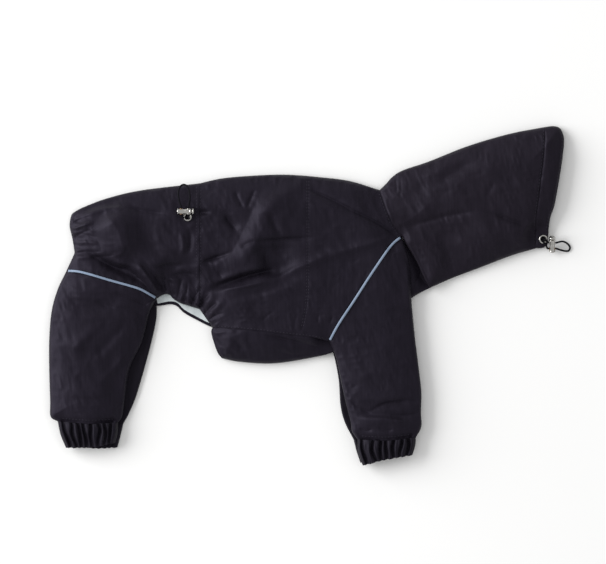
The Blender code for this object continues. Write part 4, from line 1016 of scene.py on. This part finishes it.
def legSupport(p):
    # what a right leg's underside rests on: the left leg, and the chest panel near its top
    start, end = np.array(chest["start"]), np.array(chest["end"])
    along = (end - start) / np.linalg.norm(end - start)
    above = (p - start) @ np.array((-along[1], along[0]))
    onChest = step((above + chest["margin"]) / chest["slope"]) * (p[:, 0] > 0)
    support = cloth["legFlat"] + cloth["seamGap"] + onChest * (chest["plies"] - cloth["legFlat"])
    return np.minimum(support, rightEdge(p) - cloth["legEdge"])


def legSides(prefix, leg, mouth):
    # a leg's hem, right edge, seam and left edge
    return [[prefix + leg + "Hem"], ["-" + prefix + leg + "Right"], ["-" + mouth], [prefix + leg + "Left"]]


def tube(leg, half, sides, over, under, rim):
    # two plies over one outline, which meet at the rim's height along both long edges
    spec = legs[half]
    columns, rows = gridCounts(sides, spec["spacing"])
    plies = []
    for height, across in ((over, columns), (under, spec["underColumns"])):
        flat = patch(sides, across, rows)
        z = heightsOn(flat, height)
        z[:, 0], z[:, -1] = rim(flat[:, 0]), rim(flat[:, -1])
        plies.append(np.dstack([flat, z]))
    piece = gridMesh(leg + "Leg" + half.capitalize(), joinPlies(*plies), spec["material"], wrapColumns=True)
    finishCloth(piece, leg + "_leg_" + half, sides, spec["wall"], plies=2)


def rightLeg(leg):
    rims = [leg + "Left", leg + "Right"]

    def under(p):
        rim = rightEdge(p)
        return rim - roll(rim - legSupport(p), 0, distanceTo(p, rims))

    tube(leg, "right", legSides("", leg, leg + "Seam"), clothTop, under, rightEdge)


def leftLeg(leg, mouth):
    rims = ["left" + leg.capitalize() + end for end in ("Left", "Right")]
    middle = cloth["legFlat"] / 2

    def over(p):
        # half the leg's height, a quarter-round edge, and a little crumple that keeps below it
        delta = distanceTo(p, rims)
        inside = step(delta / 6)
        fine = legs["left"]["crumple"] * crumpleHeight(p) * inside - 0.25 * inside
        return middle + roll(middle, 0, delta) + fine

    def under(p):
        return middle - roll(middle, 0, distanceTo(p, rims))

    def rim(p):
        return np.full(len(p), middle)

    tube(leg, "left", legSides("left", leg.capitalize(), mouth), over, under, rim)


for legName in ("fore", "hind"):
    rightLeg(legName)
leftLeg("fore", "foreSeam")
leftLeg("hind", "leftHindSeam")
print("legs made")


# the left half, underneath: node, slot, the edges where it rolls up, and its four sides
leftPanels = {
    "sideLeft": ("side_left", "shell", ["backFront"],
                 [["leftOpeningFront", "bellySeam"], ["foreSeam", "-neck"], ["-backFront"], ["leftWaist"]]),
    "hipLeft": ("hip_left", "shell", ["backRear", "tail", "rump"],
                [["leftHindSeam", "leftOpeningRear"], ["-leftWaist"], ["-backRear"], ["tail", "rump"]]),
    "hoodLeft": ("hood_left", "hood", ["hoodTop", "hoodBottom"], hoodSides),
    "casingLeft": ("casing_left", "hood", ["casingTop", "casingBottom"], casingSides),
}


def lowerRim(p):
    # the left half's edges stay half a seam gap below the rim height, and a little more on a hill
    lift = rimHeight(p)
    return lift - cloth["seamGap"] / 2 - cloth["rimEase"] * (lift - cloth["rimHeight"])


def leftPanel(name):
    # flat on the table, rolled up at its edges: rim - sqrt(rim^2 - (rim - d)^2)
    node, slot, rims, sides = leftPanels[name]
    flat = patch(sides, *gridCounts(sides, panelSpacing["left"]), ends=0.8)

    def height(p):
        rim = lowerRim(p)
        return rim - roll(rim, 0, distanceTo(p, rims))

    piece = gridMesh(name, np.dstack([flat, heightsOn(flat, height)]), slot, flip=True)
    finishCloth(piece, node, sides, cloth["wall"])


for panelName in leftPanels:
    leftPanel(panelName)
print("left panels made")


# belly and chest panel
belly = {
    "spacing": 1.5,
    "underRows": 24,
    "underStart": 4,
    "underReach": 22,
    # x, lowest point, top of the part under the leg
    "sections": [(-103, 0.0, 7.7), (4, 0.0, 7.7), (24, 4.3, 7.7), (104, 4.3, 7.7), (120, 2.2, 6.2),
                 (139, 1.8, 4.4)],
    "rims": ["bellyFold", "chestFold"],
    "sides": [["bellyFold", "chestFold"], ["chestEnd"], ["-armpit", "-bellySeam"], ["bellyHem"]],
}


def bellySection(p):
    # lowest point, top, share that lies under the leg, and height of the fold
    x, low, top = np.array(belly["sections"]).T
    under = step((p[:, 0] - belly["underStart"]) / belly["underReach"])
    low, top = np.interp(p[:, 0], x, low), np.interp(p[:, 0], x, top)
    rim = (1 - under) * cloth["rimHeight"] + under * (low + top) / 2
    return low, top, under, rim


def bellyTop(p):
    # Left of the leg it follows the right half's surface; under the leg it is a flat fold.
    low, top, under, rim = bellySection(p)
    plain, _ = plainTop(p, bodyRims)
    delta = distanceTo(p, belly["rims"])
    radius = cloth["rimRadius"] * (1 - under) + (top - low) / 2 * under
    edge = roll(cloth["rimRadius"], 0, delta)
    seen = plain - rightEdge(p) - edge
    fine = (creaseHeight(p) + puckerHeight(p) + crumpleHeight(p)) * step(delta / 4)
    lift = (rimHeight(p) - rim) * step(delta / 25)
    loose = (1 - under) * (np.maximum(seen, 0) + lift + fine) + under * creaseHeight(p) * step(delta / 3)
    return rim + roll(radius, 0, delta) + loose


def bellyBottom(p):
    # the fold's height less a quarter-round edge down to the lowest point
    low, _, _, rim = bellySection(p)
    return rim - roll(rim - low, 0, distanceTo(p, belly["rims"]))


def bellyPanel():
    # one strip: the upper ply from its seam to the fold, then the lower ply back under it
    columns, rows = gridCounts(belly["sides"], belly["spacing"])
    plies = []
    for height, up in ((bellyTop, rows), (bellyBottom, belly["underRows"])):
        flat = patch(belly["sides"], columns, up)
        z = heightsOn(flat, height)
        z[0] = bellySection(flat[0])[3]
        plies.append(np.dstack([flat, z]))
    strip = np.concatenate([plies[0][::-1], plies[1][1:]], axis=0)
    piece = gridMesh("bellyPanel", strip, "shell", flip=True)
    finishCloth(piece, "belly_panel", belly["sides"], cloth["wall"], plies=2)


bellyPanel()
print("belly panel made")


# cuffs
cuffs = {
    "waveHeight": 2.5,
    "valleyWidth": 1.7,
    "valleyDepth": 1.9,
    "wander": 0.012,
    "length": 26,
    "fine": 0.16,
    "valleys": {
        "fore": (0.09, 0.27, 0.40, 0.50, 0.63, 0.76, 0.88),
        "hind": (0.10, 0.22, 0.33, 0.42, 0.53, 0.67, 0.78, 0.87),
    },
    "radius": 3.0,
    "scallop": 0.8,
    "columns": 150,
    "underColumns": 72,
    "rows": 30,
    "wall": 0.9,
    "fore_right": {"low": 5.2, "rim": 9.6, "crown": 3.0, "depth": 1.0},
    "hind_right": {"low": 5.2, "rim": 8.4, "crown": 4.0, "depth": 1.0},
    "fore_left": {"low": 0.0, "rim": 2.0, "crown": 0.0, "depth": 0.4},
    "hind_left": {"low": 0.0, "rim": 2.0, "crown": 0.0, "depth": 0.4},
}


def cuffWave(leg, p, left, right, end):
    # narrow valleys between round bulges: each valley is exp(-(d / width)^2), and it wanders a
    # little along the cuff; the bulges are fullest halfway down
    toLeft, _, _ = nearest(p, curves[left])
    toRight, _, _ = nearest(p, curves[right])
    down, _, _ = nearest(p, curves[end])
    share = toLeft / np.maximum(toLeft + toRight, 1e-6)
    across = toLeft + toRight
    near = np.full(len(p), 1e3)
    for number, place in enumerate(cuffs["valleys"][leg]):
        wander = cuffs["wander"] * np.sin(down / 5.0 + 2.1 * number)
        near = np.minimum(near, np.abs(share - place - wander) * across)
    full = 0.55 + 0.45 * np.sin(math.pi * np.clip(down / cuffs["length"], 0, 1))
    bulge = 1 - cuffs["valleyDepth"] * np.exp(-((near / cuffs["valleyWidth"]) ** 2))
    fine = cuffs["fine"] * noise(np.column_stack([share * 40, down / 9]), 1.0, 71)
    return (bulge * full + fine) * step(np.minimum(toLeft, toRight) / 3.5), share


def cuff(leg, half):
    # two plies from the end to the leg's hem, with waves on the upper one and scallops at the end
    spec = cuffs[leg + "_" + half]
    prefix = "left" + leg.capitalize() if half == "left" else leg
    left, right, end = (prefix + "Cuff" + name for name in ("Left", "Right", "End"))
    sides = [[end], ["-" + right], ["-" + prefix + "Hem"], [left]]
    radius = min(cuffs["radius"], spec["rim"] - spec["low"])

    def over(p):
        delta = distanceTo(p, [left, right])
        rise = spec["rim"] + roll(radius, 0, delta) + spec["crown"] * step(delta / 14)
        return rise + cuffs["waveHeight"] * spec["depth"] * cuffWave(leg, p, left, right, end)[0]

    def under(p):
        return spec["rim"] - roll(spec["rim"] - spec["low"], 0, distanceTo(p, [left, right]))

    plies = []
    for height, columns in ((over, cuffs["columns"]), (under, cuffs["underColumns"])):
        flat = patch(sides, columns, cuffs["rows"], ends=0.3)
        z = heightsOn(flat, height)
        z[:, 0], z[:, -1] = spec["rim"], spec["rim"]
        wave, share = cuffWave(leg, flat.reshape(-1, 2), left, right, end)
        lower = np.linspace(1, 0, cuffs["rows"])[:, None] ** 2
        ends = step(np.minimum(share, 1 - share) * 12).reshape(z.shape)
        flat[..., 1] += -cuffs["scallop"] * lower * ends * wave.reshape(z.shape)
        plies.append(np.dstack([flat, z]))
    piece = gridMesh(leg + "Cuff" + half.capitalize(), joinPlies(*plies), "elastic", wrapColumns=True)
    finishCloth(piece, leg + "_cuff_" + half, sides, cuffs["wall"], plies=2)


for legName in ("fore", "hind"):
    for halfName in ("right", "left"):
        cuff(legName, halfName)
print("cuffs made")


# lining that shows in the belly opening
lining = {"base": 1.8, "height": 1.0, "hem": 3.2, "spacing": 0.8, "wall": 0.4, "ripple": 9.0}


def liningStrip():
    # pale cloth that lies inside the left half, with soft ripples
    sides = [["leftOpeningRear", "leftOpeningFront"], ["liningFront"], ["-liningInner"], ["liningRear"]]
    flat = patch(sides, *gridCounts(sides, lining["spacing"]))
    share = np.linspace(0, 1, len(flat))[:, None, None]
    flat = flat + (1 - share) * lining["hem"] * np.array((0.25, 1.0))

    def height(p):
        hem = distanceTo(p, sides[0])
        ripple = 0.55 + 0.45 * noise(p, lining["ripple"], 61)
        return lining["base"] + lining["height"] * ripple * step(hem / 3)

    piece = gridMesh("liningLeft", np.dstack([flat, heightsOn(flat, height)]), "lining")
    finishCloth(piece, "lining_left", sides, lining["wall"])


liningStrip()


# piping along the slanting seams
piping = {
    "radius": 1.3,
    "flat": 0.62,
    "lift": 0.45,
    "sink": 0.2,
    "reach": 2.25,
    "ends": 2.0,
    "sides": 14,
    "spacing": 1.2,
}


def pipe(leg):
    # A flattened round section carried along the seam, pressed onto the cloth beside it.
    line = curves[leg + "Seam"]
    length = lengthAlong(line)[-1]
    ends = piping["ends"] / length
    path = atFractions(line, np.linspace(ends, 1 - ends, count(length, piping["spacing"])))
    along = np.gradient(path, axis=0)
    along /= np.linalg.norm(along, axis=1)[:, None]
    across = np.stack([along[:, 1], -along[:, 0]], 1)
    shifts = np.array((-1, -0.5, 0, 0.5, 1)) * piping["reach"]
    beside = [plainTop(path + across * shift, bodyRims)[0] for shift in shifts]
    base = np.max(beside, axis=0) + piping["lift"]
    turn = np.linspace(0, 2 * math.pi, piping["sides"], endpoint=False)
    wide = piping["radius"] * np.cos(turn)
    high = piping["radius"] * piping["flat"] * (1 + np.sin(turn))
    points = np.dstack([
        path[:, None, 0] + across[:, None, 0] * wide,
        path[:, None, 1] + across[:, None, 1] * wide,
        base[:, None] - piping["sink"] + high[None],
    ])
    caps = points.mean(axis=1, keepdims=True)
    points = np.concatenate([
        np.repeat(caps[:1], piping["sides"], axis=1), points, np.repeat(caps[-1:], piping["sides"], axis=1)
    ])
    piece = gridMesh(leg + "PipingRight", points, "piping", wrapColumns=True)
    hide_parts(leg + "_piping_right")


pipe("fore")
pipe("hind")
print("lining and piping made")


# eyelets and cord locks
def turned(name, profile, centre, axis, material, sides=40, closed=False):
    # A profile of (radius, height) turned about an axis through the centre.
    axis = np.asarray(axis, float) / np.linalg.norm(axis)
    aside = np.cross(axis, (0, 0, 1)) if abs(axis[2]) < 0.9 else np.cross(axis, (0, 1, 0))
    aside /= np.linalg.norm(aside)
    third = np.cross(axis, aside)
    turn = np.linspace(0, 2 * math.pi, sides, endpoint=False)
    radius, height = np.array(profile, float).T
    ring = np.cos(turn)[:, None] * aside + np.sin(turn)[:, None] * third
    points = np.asarray(centre) + radius[:, None, None] * ring[None] + height[:, None, None] * axis
    return gridMesh(name, points, material, wrapColumns=True, wrapRows=closed)


hardware = {
    "eyelet": [(2.55, 0.1), (3.0, 0.0), (4.75, 0.0), (4.9, 0.25), (4.75, 0.8), (4.3, 1.3), (3.75, 1.55),
               (3.2, 1.45), (2.75, 1.1), (2.55, 0.6)],
    "barrel": [(0, 0), (2.9, 0), (3.4, 0.25), (3.5, 0.7), (3.4, 1.2), (2.95, 1.7), (2.75, 2.4), (2.9, 3.2),
               (2.9, 6.4), (2.7, 6.7), (2.7, 8.3), (2.9, 8.6), (2.9, 12.2), (2.75, 13.0), (3.0, 13.6),
               (3.3, 14.0), (3.3, 14.8), (2.9, 15.0), (0, 15.0)],
    "plunger": [(0, 0), (1.75, 0), (1.8, 0.7), (3.1, 1.1), (3.4, 1.5), (3.4, 2.4), (2.9, 3.0), (1.6, 3.2),
                (0, 3.2)],
    "collar": [(1.15, -3.15), (1.75, -3.25), (1.9, -2.9), (1.7, -2.4), (1.15, -2.4)],
    # a flat black disc that fills an eyelet's hole: painted shade inside the hole
    "holeShade": [(0, 0.0), (2.6, 0.0), (2.6, 0.35), (0, 0.35)],
    "eyeletLift": 0.3,
    "halfBarrel": 7.5,
    "plungerStart": 7.8,
}
# place on the cloth, shift of the ring from the hole's middle, surface it lies on
eyelets = {
    "waist": (waistCord["eyelet"], (1.2, 3.0), clothTop),
    "hood": (hoodCord["eyelet"], (0.3, 1.2), hoodSurface),
}


def eyelet(name):
    # a rolled ring square to the cloth, whose slope is taken 4 mm to each side, and a black disc in its hole
    # as painted shade
    place, shift, surface = eyelets[name]
    x, y = np.add(place, shift)
    around = np.array([(x - 4, y), (x + 4, y), (x, y - 4), (x, y + 4)], float)
    west, east, south, north = surface(around)
    axis = np.array((west - east, south - north, 8.0))
    middle = np.array((x, y, surface(np.array([(x, y)], float))[0] + hardware["eyeletLift"]))
    ring = turned(name + "Eyelet", hardware["eyelet"], middle, axis, "metal", closed=True)
    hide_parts(name + "_eyelet")
    # a black disc in the cord colour inside the ring: painted shade of the hole
    holeShade = turned(name + "EyeletHoleShade", hardware["holeShade"], middle, axis, "cord", 24)


def lock(name, centre, axis, across, legs):
    # a barrel with a waist and two flared ends, a sprung plunger, and a small collar at each cord hole
    axis = np.asarray(axis, float)
    start, end = centre - axis * hardware["halfBarrel"], centre + axis * hardware["plungerStart"]
    barrel = turned(name + "Barrel", hardware["barrel"], start, axis, "metal")
    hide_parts(name + "_lock")
    plunger = turned(name + "Plunger", hardware["plunger"], end, axis, "metal")
    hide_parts(name + "_plunger")
    collars = []
    for number, (place, hand) in enumerate(((legs[0], -1), (legs[0], 1), (legs[1], -1), (legs[1], 1))):
        collars.append(turned(f"{name}Collar{number}", hardware["collar"], centre + axis * place,
                              np.asarray(across) * hand, "brass" if place < 0 else "metal", 20, closed=True))
    pieces = [barrel, plunger, *collars]
    return pieces


for eyeletName in eyelets:
    eyelet(eyeletName)
waistLock = lock("waist", boxMiddle("waist_lock"), (1.0, 0.0, 0.0), (0.0, 1.0, 0.0), waistCord["legs"])
hoodLock = lock("hood", hoodLockCentre(), hoodLockAxis(), (1.0, 0.0, 0.0), hoodCord["legs"])


def declareCord(piece, line, node):
    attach(piece, "root")
    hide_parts(node)
    piece.data.materials.append(materials["cord"])
    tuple(line[0])
    float(lengthAlong(line)[-1])


declareCord(waistLoop, waistLine, "waist_cord")
declareCord(hoodLoop, hoodLine, "hood_cord")
print("hardware made")


# stitches
stitching = {
    "length": 2.0,
    "gap": 1.6,
    "width": 0.75,
    "height": 0.4,
    "lift": -0.05,
    "sections": 5,
    "corners": 6,
}
# name, edge, distance to the left of it, first and last share, on the hood
stitchRows = [
    ("waistRowA", "waist", 1.3, 0.02, 0.97, False),
    ("waistRowB", "waist", -3.2, 0.02, 0.97, False),
    ("neckRow", "neck", -1.8, 0.05, 0.95, False),
    ("casingRow", "casingSeam", -1.4, 0.02, 0.97, True),
    ("casingEdgeRow", "mouth", -2.4, 0.03, 0.95, True),
    ("bellyRow", "bellySeam", 1.8, 0.04, 0.96, False),
    ("foreHemRow", "foreHem", 4.0, 0.06, 0.94, False),
    ("hindHemRow", "hindHem", 4.0, 0.06, 0.94, False),
    ("tailRow", "tail", 5.5, 0.06, 0.96, False),
    ("midRowA", "midBody", 1.1, 0.0, 1.0, False),
    ("midRowB", "midBody", -1.1, 0.0, 1.0, False),
]


def stitchRow(name, edge, offset, first, last, onHood):
    # Each stitch is a small pillow: a few cross-sections whose radius is sqrt(sin(pi t)), laid on the
    # cloth along the row.
    line = curves[edge]
    d = np.gradient(line, axis=0)
    d /= np.linalg.norm(d, axis=1)[:, None]
    line = line + np.stack([-d[:, 1], d[:, 0]], 1) * offset
    pitch = stitching["length"] + stitching["gap"]
    length = lengthAlong(line)[-1]
    number = int(length * (last - first) / pitch)
    middles = first * length + (np.arange(number) + 0.5) * pitch
    sections, corners = stitching["sections"], stitching["corners"]
    t = np.linspace(0, 1, sections)
    spots = middles[:, None] + (t - 0.5) * stitching["length"]
    along = lengthAlong(line)
    xy = np.stack([np.interp(spots, along, line[:, k]) for k in range(2)], -1)
    way = np.gradient(xy, axis=1)
    way /= np.linalg.norm(way, axis=2)[..., None]
    surface = hoodSurface if onHood else clothTop
    z = surface(xy.reshape(-1, 2)).reshape(spots.shape) + stitching["lift"]
    thick = np.sqrt(np.clip(np.sin(math.pi * t), 0.02, 1))
    turn = np.linspace(0, 2 * math.pi, corners, endpoint=False)
    wide = stitching["width"] / 2 * thick[:, None] * np.cos(turn)
    high = stitching["height"] * thick[:, None] * np.sin(turn)
    points = np.stack([
        xy[..., 0, None] - way[..., 1, None] * wide,
        xy[..., 1, None] + way[..., 0, None] * wide,
        z[..., None] + high,
    ], -1)
    index = np.arange(number * sections * corners).reshape(number, sections, corners)
    index = np.concatenate([index, index[:, :, :1]], axis=2)
    quads = np.stack([index[:, :-1, :-1], index[:, 1:, :-1], index[:, 1:, 1:], index[:, :-1, 1:]], -1)
    piece = meshPiece(name, toMetres(points.reshape(-1, 3)), quads.reshape(-1, 4), "thread")


for row in stitchRows:
    stitchRow(*row)
print("stitches made")


# table
def makeTable():
    bpy.ops.mesh.primitive_plane_add(size=studio["tableSize"], location=(0, 0, -studio["tableDrop"]))
    table = bpy.context.object
    table.name = "table"
    table.data.materials.append(tableMaterial())


makeTable()
print("finished")
